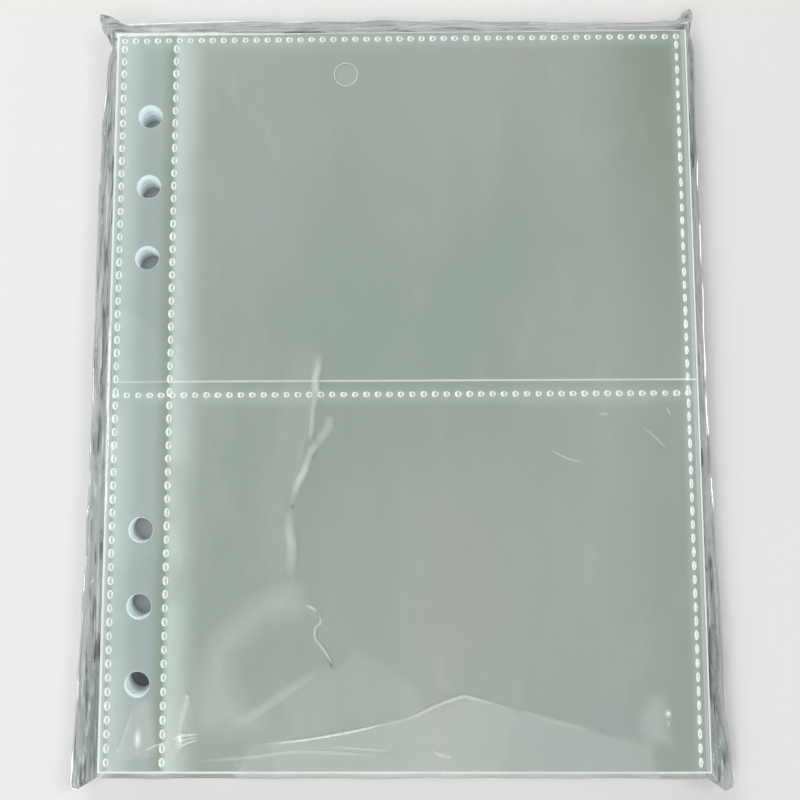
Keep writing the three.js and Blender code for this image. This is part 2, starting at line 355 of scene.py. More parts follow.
def vertex_normals(points: np.ndarray, faces: Sequence[Sequence[int]]) -> np.ndarray:
    """Average the normals of the faces round each point.

    Args:
        points: The points.
        faces: Triangles or nearly flat quads.

    Returns:
        One unit vector for each point.
    """
    normals = np.zeros_like(points)
    for size in {len(face) for face in faces}:
        index = np.array([face for face in faces if len(face) == size])
        a, b = points[index[:, 1]] - points[index[:, 0]], points[index[:, -1]] - points[index[:, 0]]
        face_normals = np.cross(a, b)
        for corner in range(size):
            np.add.at(normals, index[:, corner], face_normals)
    lengths = np.linalg.norm(normals, axis=1, keepdims=True)
    return normals / np.maximum(lengths, 1e-12)


def without_corner_contacts(kept: np.ndarray) -> np.ndarray:
    """Drop cells of a grid until no two touch at a corner alone.

    Args:
        kept: Which cells there are, row by row.

    Returns:
        Which cells are left.
    """
    kept = kept.copy()
    while True:
        a, b, c, d = kept[:-1, :-1], kept[:-1, 1:], kept[1:, :-1], kept[1:, 1:]
        rows, columns = np.nonzero((a & d & ~b & ~c) | (b & c & ~a & ~d))
        if not len(rows):
            return kept
        kept[rows, columns] = kept[rows, columns + 1] = False


def swept(path: np.ndarray, section: np.ndarray, closed: bool):
    """Carry a section along a path that stays near level.

    Args:
        path: The points of the path.
        section: Rows of sideways and upward offsets, anticlockwise as seen against the path.
        closed: Whether the path's end joins its start.

    Returns:
        The points and outward faces.
    """
    ahead = np.roll(path, -1, axis=0) - np.roll(path, 1, axis=0)
    if not closed:
        ahead[0], ahead[-1] = path[1] - path[0], path[-1] - path[-2]
    sideways = np.column_stack([ahead[:, 1], -ahead[:, 0], np.zeros(len(path))])
    sideways /= np.linalg.norm(sideways, axis=1, keepdims=True)
    upward = np.array([0.0, 0.0, 1.0])
    rings = [point + section[:, :1] * side + section[:, 1:] * upward for point, side in zip(path, sideways)]
    count, steps = len(section), len(path)
    faces: list[tuple[int, ...]] = []
    for step in range(steps if closed else steps - 1):
        here, there = step * count, (step + 1) % steps * count
        faces += [
            (here + i, here + (i + 1) % count, there + (i + 1) % count, there + i)
            for i in range(count)
        ]
    faces = [tuple(reversed(face)) for face in faces]
    if not closed:
        faces.append(tuple(range(count)))
        faces.append(tuple(reversed(range((steps - 1) * count, steps * count))))
    return np.vstack(rings), faces


def oval_section(width: float, height: float, sides: int = 8) -> np.ndarray:
    """Corners of an upright oval, as sideways and upward offsets."""
    angles = math.tau * np.arange(sides) / sides
    return np.column_stack([np.cos(angles) * width / 2, np.sin(angles) * height / 2])


def ribbon(path: np.ndarray, width: float, height: float):
    """A flat bead along an open path."""
    return swept(path, oval_section(width, height), closed=False)


def tube(path: np.ndarray, width: float):
    """A round bead along a closed path."""
    return swept(path, oval_section(width, width), closed=True)


def film_strip(upper: np.ndarray, columns: int, rows: int, film: float):
    """Close a film whose outer face is a grid of points, row by row.

    Args:
        upper: The outer face's points.
        columns: Cells across.
        rows: Cells along.
        film: The film's thickness.

    Returns:
        The points and faces of the closed film.
    """
    wide = columns + 1
    faces = [
        (row * wide + column, row * wide + column + 1, (row + 1) * wide + column + 1,
         (row + 1) * wide + column)
        for row in range(rows)
        for column in range(columns)
    ]
    inner = upper - vertex_normals(upper, faces) * film
    return closed_film(upper, inner, faces)


def mesh_piece(
    name: str,
    points: np.ndarray,
    faces: Sequence[Sequence[int]],
    material: bpy.types.Material,
    smooth: bool = True,
    marks: dict[Mark, np.ndarray] | None = None,
) -> bpy.types.Object:
    """Make a mesh object that sits at the origin, with its place in its mesh.

    Args:
        name: The piece's name.
        points: Its points in the row frame.
        faces: Its faces, pointing outwards.
        material: Its finish.
        smooth: Whether it is shaded smooth, with sharp edges kept.
        marks: Values of each point that the finish reads.

    Returns:
        The new object.
    """
    mesh = bpy.data.meshes.new(name)
    mesh.from_pydata([tuple(p) for p in points], [], [tuple(f) for f in faces])
    mesh.materials.append(material)
    mesh.validate()
    for mark, values in (marks or {}).items():
        flat = values.ndim == 1
        kind, key = ("FLOAT", "value") if flat else ("FLOAT_VECTOR", "vector")
        mesh.attributes.new(mark.value, kind, "POINT").data.foreach_set(key, values.ravel())
    if smooth:
        mesh.shade_smooth()
        mesh.set_sharp_from_angle(angle=math.radians(40))
    piece = bpy.data.objects.new(name, mesh)
    bpy.context.scene.collection.objects.link(piece)
    return piece


def placed(piece: bpy.types.Object, body: Body, slot: Slot, *nodes: str) -> bpy.types.Object:
    """Let a finished piece ride on its body and stand for its CAD nodes.

    Args:
        piece: The finished piece.
        body: What it moves with.
        slot: The record's slot for its finish; not used.
        nodes: The CAD nodes that it replaces.

    Returns:
        The same piece.
    """
    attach(piece, body.value)
    if nodes:
        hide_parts(*nodes)
    LOG.info("%s rides on %s", piece.name, body.value)
    return piece


class NodeGraph:
    """A material's node tree with short ways to add and join nodes."""

    def __init__(self, name: str) -> None:
        """Start an empty material.

        Args:
            name: The material's name.
        """
        self.material = bpy.data.materials.new(name)
        self.material.use_nodes = True
        self.tree = self.material.node_tree
        self.tree.nodes.clear()
        self.output = self.tree.nodes.new("ShaderNodeOutputMaterial")
        self.place = self.tree.nodes.new("ShaderNodeTexCoord").outputs["Object"]

    def node(self, kind: str, **inputs: object) -> bpy.types.Node:
        """Add a node and fill or link its inputs.

        Args:
            kind: Blender's name for the node.
            inputs: Values or sockets, by input name with underscores for spaces.

        Returns:
            The node.
        """
        made = self.tree.nodes.new(kind)
        for name, value in inputs.items():
            self.feed(made.inputs[name.replace("_", " ")], value)
        return made

    def feed(self, socket: bpy.types.NodeSocket, value: object) -> None:
        """Link a socket into an input, or set the input to a plain value."""
        if isinstance(value, bpy.types.NodeSocket):
            self.tree.links.new(value, socket)
        else:
            socket.default_value = value

    def math(self, operation: str, *values: object) -> bpy.types.NodeSocket:
        """Work out one number from one, two or three.

        Args:
            operation: Blender's name for the operation.
            values: Plain numbers or sockets.

        Returns:
            The result's socket.
        """
        made = self.tree.nodes.new("ShaderNodeMath")
        made.operation = operation
        for socket, value in zip(made.inputs, values):
            self.feed(socket, value)
        return made.outputs[0]

    def ramp(self, value: object, low: float, high: float) -> bpy.types.NodeSocket:
        """Rise smoothly from 0 at low to 1 at high, or fall where low is above high."""
        made = self.tree.nodes.new("ShaderNodeMapRange")
        made.interpolation_type = "SMOOTHSTEP"
        self.feed(made.inputs["Value"], value)
        swapped = low > high
        made.inputs["From Min"].default_value = min(low, high)
        made.inputs["From Max"].default_value = max(low, high)
        made.inputs["To Min"].default_value = 1.0 if swapped else 0.0
        made.inputs["To Max"].default_value = 0.0 if swapped else 1.0
        return made.outputs["Result"]

    def mark(self, mark: Mark) -> bpy.types.Node:
        """Read one of the values that a film's mesh carries."""
        made = self.tree.nodes.new("ShaderNodeAttribute")
        made.attribute_name = mark.value
        return made

    def noise(
        self,
        scale: float,
        detail: float = 2.0,
        stretch: Sequence[float] = (1, 1, 1),
        place: bpy.types.NodeSocket | None = None,
    ) -> bpy.types.NodeSocket:
        """Soft noise on the object's own coordinates, or on others.

        Args:
            scale: Features for each metre.
            detail: How many finer layers it has.
            stretch: How much faster it runs along X, Y and Z.
            place: Other coordinates to use.

        Returns:
            The noise's value socket.
        """
        mapping = self.node("ShaderNodeMapping", Vector=place or self.place)
        mapping.inputs["Scale"].default_value = tuple(stretch)
        made = self.node("ShaderNodeTexNoise", Vector=mapping.outputs[0])
        made.inputs["Scale"].default_value = scale
        made.inputs["Detail"].default_value = detail
        return made.outputs[0]

    def mix_colour(self, share: object, first: object, second: object) -> bpy.types.NodeSocket:
        """Mix two colours.

        Args:
            share: How much of the second, 0 to 1.
            first: A colour or socket.
            second: A colour or socket.

        Returns:
            The mixed colour's socket.
        """
        made = self.tree.nodes.new("ShaderNodeMix")
        made.data_type = "RGBA"
        self.feed(made.inputs[0], share)
        for socket, value in ((made.inputs[6], first), (made.inputs[7], second)):
            plain = not isinstance(value, bpy.types.NodeSocket)
            self.feed(socket, (*value, 1.0) if plain and len(value) == 3 else value)
        return made.outputs[2]

    def mix_shader(self, share: object, *shaders: bpy.types.Node) -> bpy.types.Node:
        """Mix two shaders by the share of the second."""
        made = self.node("ShaderNodeMixShader")
        self.feed(made.inputs[0], share)
        for socket, shader in zip(list(made.inputs)[1:], shaders):
            self.feed(socket, shader.outputs[0])
        return made

    def bump(self, height: object, distance: float, strength: float = 1.0):
        """A normal from a height between 0 and 1."""
        made = self.node("ShaderNodeBump", Height=height)
        made.inputs["Strength"].default_value = strength
        made.inputs["Distance"].default_value = distance
        return made.outputs[0]

    def finish(self, shader: bpy.types.NodeSocket) -> bpy.types.Material:
        """Wire the last shader to the output and hand the material over."""
        self.tree.links.new(shader, self.output.inputs["Surface"])
        return self.material


@dataclass(frozen=True)
class PageLayout:
    """Where a page's edges, holes and weld lines lie, from the frame and the page's own sizes."""

    left: float
    right: float
    low: float
    high: float
    hole_radius: float = 3.1 * MM
    hole_from_edge: float = 9.4 * MM
    hole_pitch: float = 19.0 * MM
    holes_below_middle: float = 0.7 * MM
    group_gap: float = 70.0 * MM
    top_weld_inset: float = 1.8 * MM
    left_weld_inset: float = 2.1 * MM
    right_weld_inset: float = 2.6 * MM
    strip_width: float = 15.95 * MM
    mouth_above_middle: float = 1.9 * MM
    divider_below_mouth: float = 3.5 * MM
    mouth_slit: float = 0.3 * MM
    hole_sides: int = 40

    @classmethod
    def from_frame(cls) -> "PageLayout":
        """Read the page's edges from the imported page."""
        low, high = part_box("page_02")
        return cls(low.x, high.x, low.y, high.y)

    @property
    def middle(self) -> float:
        """Middle of the page along Y."""
        return (self.low + self.high) / 2

    @property
    def hole_x(self) -> float:
        """The line that the ring holes lie on."""
        return self.left + self.hole_from_edge

    @property
    def hole_heights(self) -> list[float]:
        """Y of the six ring holes, lowest first."""
        inner = self.group_gap / 2
        group = [inner + step * self.hole_pitch for step in range(3)]
        middle = self.middle - self.holes_below_middle
        return [middle + y for y in (*[-y for y in reversed(group)], *group)]

    @property
    def weld_columns(self) -> dict[str, float]:
        """X of the three weld columns by name."""
        return {
            "left": self.left + self.left_weld_inset,
            "strip": self.left + self.strip_width,
            "right": self.right - self.right_weld_inset,
        }

    @property
    def mouth(self) -> float:
        """Y of the upper pocket's mouth."""
        return self.middle + self.mouth_above_middle

    @property
    def weld_rows(self) -> dict[str, float]:
        """Y of the two weld rows by name."""
        return {"top": self.high - self.top_weld_inset, "divider": self.mouth - self.divider_below_mouth}

    def holes_between(self, low: float, high: float) -> list[list[Point2]]:
        """Outlines of the ring holes whose centres lie between two heights."""
        return [
            circle((self.hole_x, y), self.hole_radius, self.hole_sides)
            for y in self.hole_heights
            if low < y < high
        ]

    def rectangle(self, low: float, high: float) -> list[Point2]:
        """Corners of a sheet of the page's width, anticlockwise."""
        return [(self.left, low), (self.right, low), (self.right, high), (self.left, high)]


@dataclass(frozen=True)
class FrostedFilm:
    """The page film: grey-green where many lie on each other, with painted shade and a painted halo of
    light beside its welds, bright edge lines partly painted highlight, and painted glowing hole walls.
    """

    layout: PageLayout
    name: str = "frosted_page_film"
    field_colour: Colour = srgb(148, 162, 151)
    cloud_colour: Colour = srgb(157, 169, 163)
    warm_colour: Colour = srgb(169, 169, 161)
    strip_colour: Colour = srgb(158, 173, 170)
    shade_colour: Colour = srgb(135, 149, 134)
    painted_halo_colour: Colour = srgb(200, 216, 210)
    edge_and_highlight_colour: Colour = srgb(242, 249, 246)
    painted_wall_light_colour: Colour = srgb(226, 238, 240)
    near_halo: float = 1.9 * MM
    far_halo: float = 10.0 * MM
    edge_width: float = 0.5 * MM
    left_edge_highlight_width: float = 0.8 * MM
    mouth_width: float = 0.3 * MM
    line_width: float = 0.2 * MM
    ring_width: float = 0.14 * MM
    fine_lines: tuple[float, ...] = (0.75 * MM, 1.15 * MM)
    fine_line_share: float = 0.3
    ring_share: float = 0.75
    left_edge_highlight_share: float = 0.85
    row_halo_share: float = 0.22
    near_halo_share: float = 0.15
    warmth: float = 0.5
    shade_width: float = 4.5 * MM
    right_shade: tuple[float, float] = (24.0 * MM, 3.0 * MM)
    bump_height: float = 0.02 * MM
    wall_painted_glow: float = 0.5
    least_painted_glow: float = 0.04
    stack_height: float = 10.2 * MM

    def _near(self, graph: NodeGraph, axis: bpy.types.NodeSocket, line: float, reach: float):
        """Share that is 1 on a straight line and fades to 0 at a reach either side of it."""
        offset = graph.math("ABSOLUTE", graph.math("SUBTRACT", axis, line))
        return graph.ramp(offset, reach, reach * 0.5)

    def _beside(self, graph: NodeGraph, axis: bpy.types.NodeSocket, line: float, reach: float):
        """Share that is 1 just past a line, fades over the reach and is 0 on the other side.

        Args:
            graph: The material's tree.
            axis: The coordinate across the line.
            line: Where the line lies.
            reach: How far the share carries, negative for the lower side.

        Returns:
            The share's socket.
        """
        fade = graph.ramp(axis, line + reach, line)
        start = graph.ramp(axis, line - math.copysign(0.4 * MM, reach), line + 0.15 * reach)
        return graph.math("MULTIPLY", fade, start)

    def _ring(self, graph: NodeGraph, centre: Point2, radius: float) -> bpy.types.NodeSocket:
        """Share that is 1 inside a circle's rim and fades out just past it."""
        away = graph.node("ShaderNodeVectorMath")
        away.operation = "DISTANCE"
        flat = graph.node("ShaderNodeVectorMath", Vector=graph.place)
        flat.operation = "MULTIPLY"
        flat.inputs[1].default_value = (1.0, 1.0, 0.0)
        graph.feed(away.inputs[0], flat.outputs[0])
        away.inputs[1].default_value = (*centre, 0.0)
        return graph.ramp(away.outputs["Value"], radius + self.ring_width, radius + self.ring_width * 0.4)

    def _field(self, graph: NodeGraph, across: bpy.types.NodeSocket) -> bpy.types.NodeSocket:
        """Colour of the film away from its welds, cloudy and with a paler binding strip."""
        clouds = graph.ramp(graph.noise(24.0, 3.0, (1.0, 0.4, 1.0)), 0.35, 0.7)
        colour = graph.mix_colour(clouds, self.field_colour, self.cloud_colour)
        warmth = graph.ramp(graph.noise(17.0, 2.0, (0.8, 0.6, 1.0)), 0.45, 0.8)
        colour = graph.mix_colour(graph.math("MULTIPLY", warmth, self.warmth), colour, self.warm_colour)
        strip = self.layout.weld_columns["strip"]
        return graph.mix_colour(graph.ramp(across, strip + MM, strip - MM), colour, self.strip_colour)

    def _shade(self, graph: NodeGraph, across: bpy.types.NodeSocket, along: bpy.types.NodeSocket):
        """Share of painted shade just left of the strip's and the right-hand weld, the right one strongest
        at the high end and fading towards the low end.
        """
        columns = self.layout.weld_columns
        strip = self._beside(graph, across, columns["strip"], -self.shade_width)
        start, full = (columns["right"] - inset for inset in self.right_shade)
        right = graph.ramp(across, start, full)
        past = graph.ramp(across, columns["right"] + MM, columns["right"] - 2.0 * MM)
        upper = graph.math("MULTIPLY_ADD", graph.ramp(along, self.layout.low, self.layout.high), 0.6, 0.3)
        right = graph.math("MULTIPLY", graph.math("MULTIPLY", right, past), upper)
        return graph.math("MAXIMUM", strip, right)

    def _painted_halo(self, graph: NodeGraph, across: bpy.types.NodeSocket, along: bpy.types.NodeSocket):
        """Share of painted light: a pale halo beside the upright welds and round the rows, in patches."""
        layout = self.layout
        halo: bpy.types.NodeSocket | float = 0.0
        sides = (("left", 1.0, 0.75), ("strip", 1.0, 0.95), ("right", -1.0, 0.25))
        for name, side, strength in sides:
            line = layout.weld_columns[name]
            near = self._beside(graph, across, line, side * self.near_halo)
            far = self._beside(graph, across, line, side * self.far_halo * strength)
            far = graph.math("MULTIPLY", far, 1.0 - self.near_halo_share)
            both = graph.math("MULTIPLY_ADD", near, self.near_halo_share, far)
            halo = graph.math("MAXIMUM", halo, graph.math("MULTIPLY", both, strength))
        for line in layout.weld_rows.values():
            near = graph.math("ABSOLUTE", graph.math("SUBTRACT", along, line - 0.6 * MM))
            soft = graph.ramp(near, self.near_halo * 1.6, 0.0)
            halo = graph.math("MAXIMUM", halo, graph.math("MULTIPLY", soft, self.row_halo_share))
        patchy = graph.ramp(graph.noise(60.0, 2.0), 0.0, 0.55)
        return graph.math("MULTIPLY", halo, patchy)

    def _rim(self, graph: NodeGraph, across: bpy.types.NodeSocket, along: bpy.types.NodeSocket):
        """Share of bright lines at the cut edges, mouth and hole rims and beside the outer welds: partly
        paler cut film, partly painted highlight, the wide left line mostly painted highlight.
        """
        layout = self.layout
        strip = layout.weld_columns["strip"]
        share = graph.math("MULTIPLY_ADD", graph.ramp(across, strip, strip + 2 * MM), 0.4, 0.35)
        rim = graph.math("MULTIPLY", self._near(graph, along, layout.mouth, self.mouth_width), share)
        edges = ((across, layout.right, 1.0), (along, layout.low, 1.0), (along, layout.high, 0.4))
        for axis, line, share in edges:
            rim = graph.math("MAXIMUM", rim, self._near(graph, axis, line, self.edge_width * share))
        left = self._near(graph, across, layout.left, self.left_edge_highlight_width)
        rim = graph.math("MAXIMUM", rim, graph.math("MULTIPLY", left, self.left_edge_highlight_share))
        for inset in self.fine_lines:
            for line in (layout.left + inset, layout.right - inset):
                fine = self._near(graph, across, line, self.line_width)
                fine = graph.math("MULTIPLY", fine, self.fine_line_share)
                rim = graph.math("MAXIMUM", rim, fine)
        for y in layout.hole_heights:
            ring = self._ring(graph, (layout.hole_x, y), layout.hole_radius)
            rim = graph.math("MAXIMUM", rim, graph.math("MULTIPLY", ring, self.ring_share))
        return rim

    def build(self) -> bpy.types.Material:
        """Make the material.

        Returns:
            The finished material.
        """
        graph = NodeGraph(self.name)
        across, along, up = graph.node("ShaderNodeSeparateXYZ", Vector=graph.place).outputs
        colour = self._field(graph, across)
        # Painted shade: the film's colour darkened beside the strip's and the right-hand weld.
        colour = graph.mix_colour(self._shade(graph, across, along), colour, self.shade_colour)
        # Painted halo of light beside the welds and round the weld rows.
        colour = graph.mix_colour(self._painted_halo(graph, across, along), colour, self.painted_halo_colour)
        # Bright edge lines: partly paler cut film, partly painted highlight.
        colour = graph.mix_colour(self._rim(graph, across, along), colour, self.edge_and_highlight_colour)
        normal = graph.node("ShaderNodeNewGeometry").outputs["True Normal"]
        upright = graph.node("ShaderNodeSeparateXYZ", Vector=normal).outputs[2]
        # Upright faces, the hole walls, are painted pale as if lit through the film: painted light.
        wall = graph.ramp(graph.math("ABSOLUTE", upright), 0.75, 0.35)
        colour = graph.mix_colour(wall, colour, self.painted_wall_light_colour)
        grain = graph.noise(4200.0, 2.0)
        streaks = graph.noise(900.0, 2.0, (0.15, 1.0, 1.0))
        height = graph.math("ADD", grain, graph.math("MULTIPLY", streaks, 0.6))
        shader = graph.node("ShaderNodeBsdfPrincipled", Base_Color=colour)
        graph.feed(shader.inputs["Normal"], graph.bump(height, self.bump_height, 0.3))
        graph.feed(shader.inputs["Roughness"], graph.math("MULTIPLY_ADD", grain, 0.16, 0.3))
        shader.inputs["IOR"].default_value = FILM_IOR
        shader.inputs["Emission Color"].default_value = (*self.painted_wall_light_colour, 1.0)
        # Emission on the hole walls is a painted glow, stronger higher up the stack.
        raised = graph.ramp(up, 0.0, self.stack_height)
        painted_glow = graph.math("MULTIPLY_ADD", raised, self.wall_painted_glow, self.least_painted_glow)
        graph.feed(shader.inputs["Emission Strength"], graph.math("MULTIPLY", wall, painted_glow))
        return graph.finish(shader.outputs[0])


@dataclass(frozen=True)
class WeldFilm:
    """Film melted by the welding tool: glassy, in a near-white copy with a painted glow that paints the
    dots' rim highlights, and a darker copy for their middles.
    """

    name: str
    colour: Colour
    roughness: float = 0.18
    dullness: float = 0.8
    bump_height: float = 0.02 * MM
    painted_glow: float = 0.0

    def build(self) -> bpy.types.Material:
        """Make the material.

        Returns:
            The finished material.
        """
        graph = NodeGraph(self.name)
        speckle = graph.ramp(graph.noise(1500.0, 2.0), 0.3, 0.7)
        dull = tuple(part * self.dullness for part in self.colour)
        colour = graph.mix_colour(speckle, dull, self.colour)
        shader = graph.node("ShaderNodeBsdfPrincipled", Base_Color=colour)
        shader.inputs["IOR"].default_value = FILM_IOR
        # The emission is a painted glow.
        shader.inputs["Emission Color"].default_value = (*self.colour, 1.0)
        shader.inputs["Emission Strength"].default_value = self.painted_glow
        graph.feed(shader.inputs["Roughness"], graph.math("MULTIPLY_ADD", speckle, 0.1, self.roughness))
        normal = graph.bump(graph.noise(2500.0, 1.0), self.bump_height, 0.5)
        graph.feed(shader.inputs["Normal"], normal)
        return graph.finish(shader.outputs[0])


@dataclass(frozen=True)
class ClearFilm:
    """Thin clear film: seen through, with a glossy skin and slight milkiness; past the stack it has a
    painted shade tint and painted dark and bright fine lines.
    """

    name: str = "clear_bag_film"
    tint: Colour = (1.0, 1.0, 1.0)
    band_shade_tint: Colour = (0.875, 0.893, 0.888)
    haze_and_sheen_colour: Colour = srgb(230, 236, 232)
    painted_dark_line_colour: Colour = srgb(92, 104, 101)
    haze: float = 0.04
    painted_line_share: float = 0.45
    gloss_face_on: float = 0.022
    gloss_grazing: float = 0.75
    roughness: float = 0.07
    ripple: float = 0.1 * MM

    def _milk_and_painted_light(self, graph: NodeGraph, scuffs: bpy.types.NodeSocket, band: bpy.types.NodeSocket):
        """Share and colour of the light that the film scatters, plus painted light: the painted reflection
        that the mesh carries and painted dark and bright lines over the band.

        Args:
            graph: The material's tree.
            scuffs: Where the film is scuffed.
            band: Share of the band film beside the stack.

        Returns:
            The share's and the colour's sockets.
        """
        # Painted light over the band: bright lines are painted highlights, dark lines painted shade.
        lines = graph.noise(620.0, 3.0, place=graph.mark(Mark.PLACE).outputs["Vector"])
        bright = graph.ramp(lines, 0.56, 0.66)
        dark = graph.ramp(lines, 0.46, 0.36)
        painted_lines = graph.math("MULTIPLY", graph.math("MAXIMUM", bright, dark), self.painted_line_share)
        share = graph.math("MULTIPLY_ADD", scuffs, self.haze, self.haze * 0.4)
        share = graph.math("ADD", share, graph.mark(Mark.HAZE).outputs["Fac"])
        share = graph.math("MULTIPLY_ADD", band, painted_lines, share)
        colour = graph.mix_colour(graph.math("MULTIPLY", dark, band), self.haze_and_sheen_colour, self.painted_dark_line_colour)
        return share, colour

    def build(self) -> bpy.types.Material:
        """Make the material.

        Returns:
            The finished material.
        """
        graph = NodeGraph(self.name)
        facing = graph.node("ShaderNodeLayerWeight").outputs["Facing"]
        grazing = graph.math("POWER", facing, 3.0)
        scuffs = graph.ramp(graph.noise(160.0, 4.0, (1.0, 0.35, 1.0)), 0.5, 0.78)
        ripples = graph.bump(graph.noise(200.0, 2.0, (1.0, 0.6, 1.0)), self.ripple, 0.3)
        band = graph.mark(Mark.BAND).outputs["Fac"]
        milk_and_light_share, milk_and_light_colour = self._milk_and_painted_light(graph, scuffs, band)
        # Past the stack the see-through light is tinted darker: painted shade.
        clear = graph.node(
            "ShaderNodeBsdfTransparent", Color=graph.mix_colour(band, self.tint, self.band_shade_tint)
        )
        milk_and_light = graph.node("ShaderNodeBsdfDiffuse", Color=milk_and_light_colour)
        clear_milk_and_light = graph.mix_shader(milk_and_light_share, clear, milk_and_light)
        gloss = graph.node("ShaderNodeBsdfGlossy")
        graph.feed(gloss.inputs["Roughness"], graph.math("MULTIPLY_ADD", scuffs, 0.1, self.roughness))
        graph.feed(gloss.inputs["Normal"], ripples)
        share = graph.math("MULTIPLY_ADD", grazing, self.gloss_grazing, self.gloss_face_on)
        return graph.finish(graph.mix_shader(share, clear_milk_and_light, gloss).outputs[0])


@dataclass(frozen=True)
class CreaseHighlightFilm:
    """White film with a painted glow for painted highlights along the creases and round the vent, seen only
    as far as its mesh's own share of painted light says.
    """

    name: str = "crease_highlight_film"
    colour: Colour = srgb(240, 246, 240)
    roughness: float = 0.35
    least_share: float = 0.65
    painted_glow: float = 0.12

    def build(self) -> bpy.types.Material:
        """Make the material.

        Returns:
            The finished material.
        """
        graph = NodeGraph(self.name)
        patchy = graph.ramp(graph.noise(900.0, 2.0), 0.25, 0.55)
        uneven = graph.math("MULTIPLY_ADD", patchy, 1.0 - self.least_share, self.least_share)
        share = graph.math("MULTIPLY", graph.mark(Mark.HAZE).outputs["Fac"], uneven)
        clear = graph.node("ShaderNodeBsdfTransparent")
        white = graph.node("ShaderNodeBsdfPrincipled")
        white.inputs["Base Color"].default_value = (*self.colour, 1.0)
        white.inputs["Roughness"].default_value = self.roughness
        # The emission is a painted glow.
        white.inputs["Emission Color"].default_value = (*self.colour, 1.0)
        white.inputs["Emission Strength"].default_value = self.painted_glow
        return graph.finish(graph.mix_shader(share, clear, white).outputs[0])


@dataclass(frozen=True)
class Tape:
    """The flap's adhesive: a clear tape, milky with tiny bubbles."""

    name: str = "clear_adhesive"
    colour: Colour = srgb(222, 226, 214)
    least_share: float = 0.3
    bubble_share: float = 0.25
    bubble_height: float = 0.03 * MM

    def build(self) -> bpy.types.Material:
        """Make the material.

        Returns:
            The finished material.
        """
        graph = NodeGraph(self.name)
        bubbles = graph.ramp(graph.noise(1800.0, 3.0), 0.45, 0.7)
        skin = graph.node("ShaderNodeBsdfPrincipled")
        skin.inputs["Base Color"].default_value = (*self.colour, 1.0)
        graph.feed(skin.inputs["Roughness"], graph.math("MULTIPLY_ADD", bubbles, 0.3, 0.25))
        graph.feed(skin.inputs["Normal"], graph.bump(bubbles, self.bubble_height, 0.4))
        clear = graph.node("ShaderNodeBsdfTransparent")
        share = graph.math("MULTIPLY_ADD", bubbles, self.bubble_share, self.least_share)
        return graph.finish(graph.mix_shader(share, clear, skin).outputs[0])


def flat_plate(region: Region, bottom: float, top: float, shift: Point2 = (0.0, 0.0)):
    """A flat plate over a region, moved sideways by a shift, as points and faces."""
    flat, faces = region.triangles()
    flat = flat + np.array(shift)
    upper, lower = (np.column_stack([flat, np.full(len(flat), height)]) for height in (top, bottom))
    return closed_film(upper, lower, faces)


@dataclass
class LowerPages:
    """The pages under the top one, each a back film and two pocket films."""

    layout: PageLayout
    material: bpy.types.Material
    film_share: float = 0.42
    wander: float = 0.1 * MM
    lean: float = 1.8 * MM
    seed: int = 7

    def _film(self, low: float, high: float, bottom: float, top: float, shift: Point2):
        """One flat film of a page with its ring holes, as points and faces."""
        holes = self.layout.holes_between(low, high)
        region = Region(self.layout.rectangle(low, high), holes, FLAT_SPACING)
        return flat_plate(region, bottom, top, shift)

    def _page(self, node: str, depth: float, dice: random.Random) -> bpy.types.Object:
        """Build one page where its CAD node lies, slipped a little to the left with its depth.

        Args:
            node: The page's CAD node.
            depth: How far down the stack it lies, 0 to 1.
            dice: Where its small slip comes from.

        Returns:
            The page's piece.
        """
        low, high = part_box(node)
        film = (high.z - low.z) * self.film_share
        slip = [dice.uniform(-self.wander, self.wander) for _ in range(2)]
        shift = (slip[0] - self.lean * depth, slip[1])
        slit = self.layout.mouth_slit / 2
        films = [
            self._film(self.layout.low, self.layout.high, low.z, low.z + film, shift),
            self._film(self.layout.low, self.layout.mouth - slit, high.z - film, high.z, shift),
            self._film(self.layout.mouth + slit, self.layout.high, high.z - film, high.z, shift),
        ]
        piece = mesh_piece(f"{node}_films", *joined(films), self.material, smooth=False)
        return placed(piece, Body.PAGES, Slot.PAGE, node)

    def build(self, nodes: Sequence[str]) -> list[bpy.types.Object]:
        """Build every lower page.

        Args:
            nodes: The pages' CAD nodes, from the top down.

        Returns:
            One piece for each page.
        """
        dice = random.Random(self.seed)
        return [self._page(node, number / len(nodes), dice) for number, node in enumerate(nodes)]


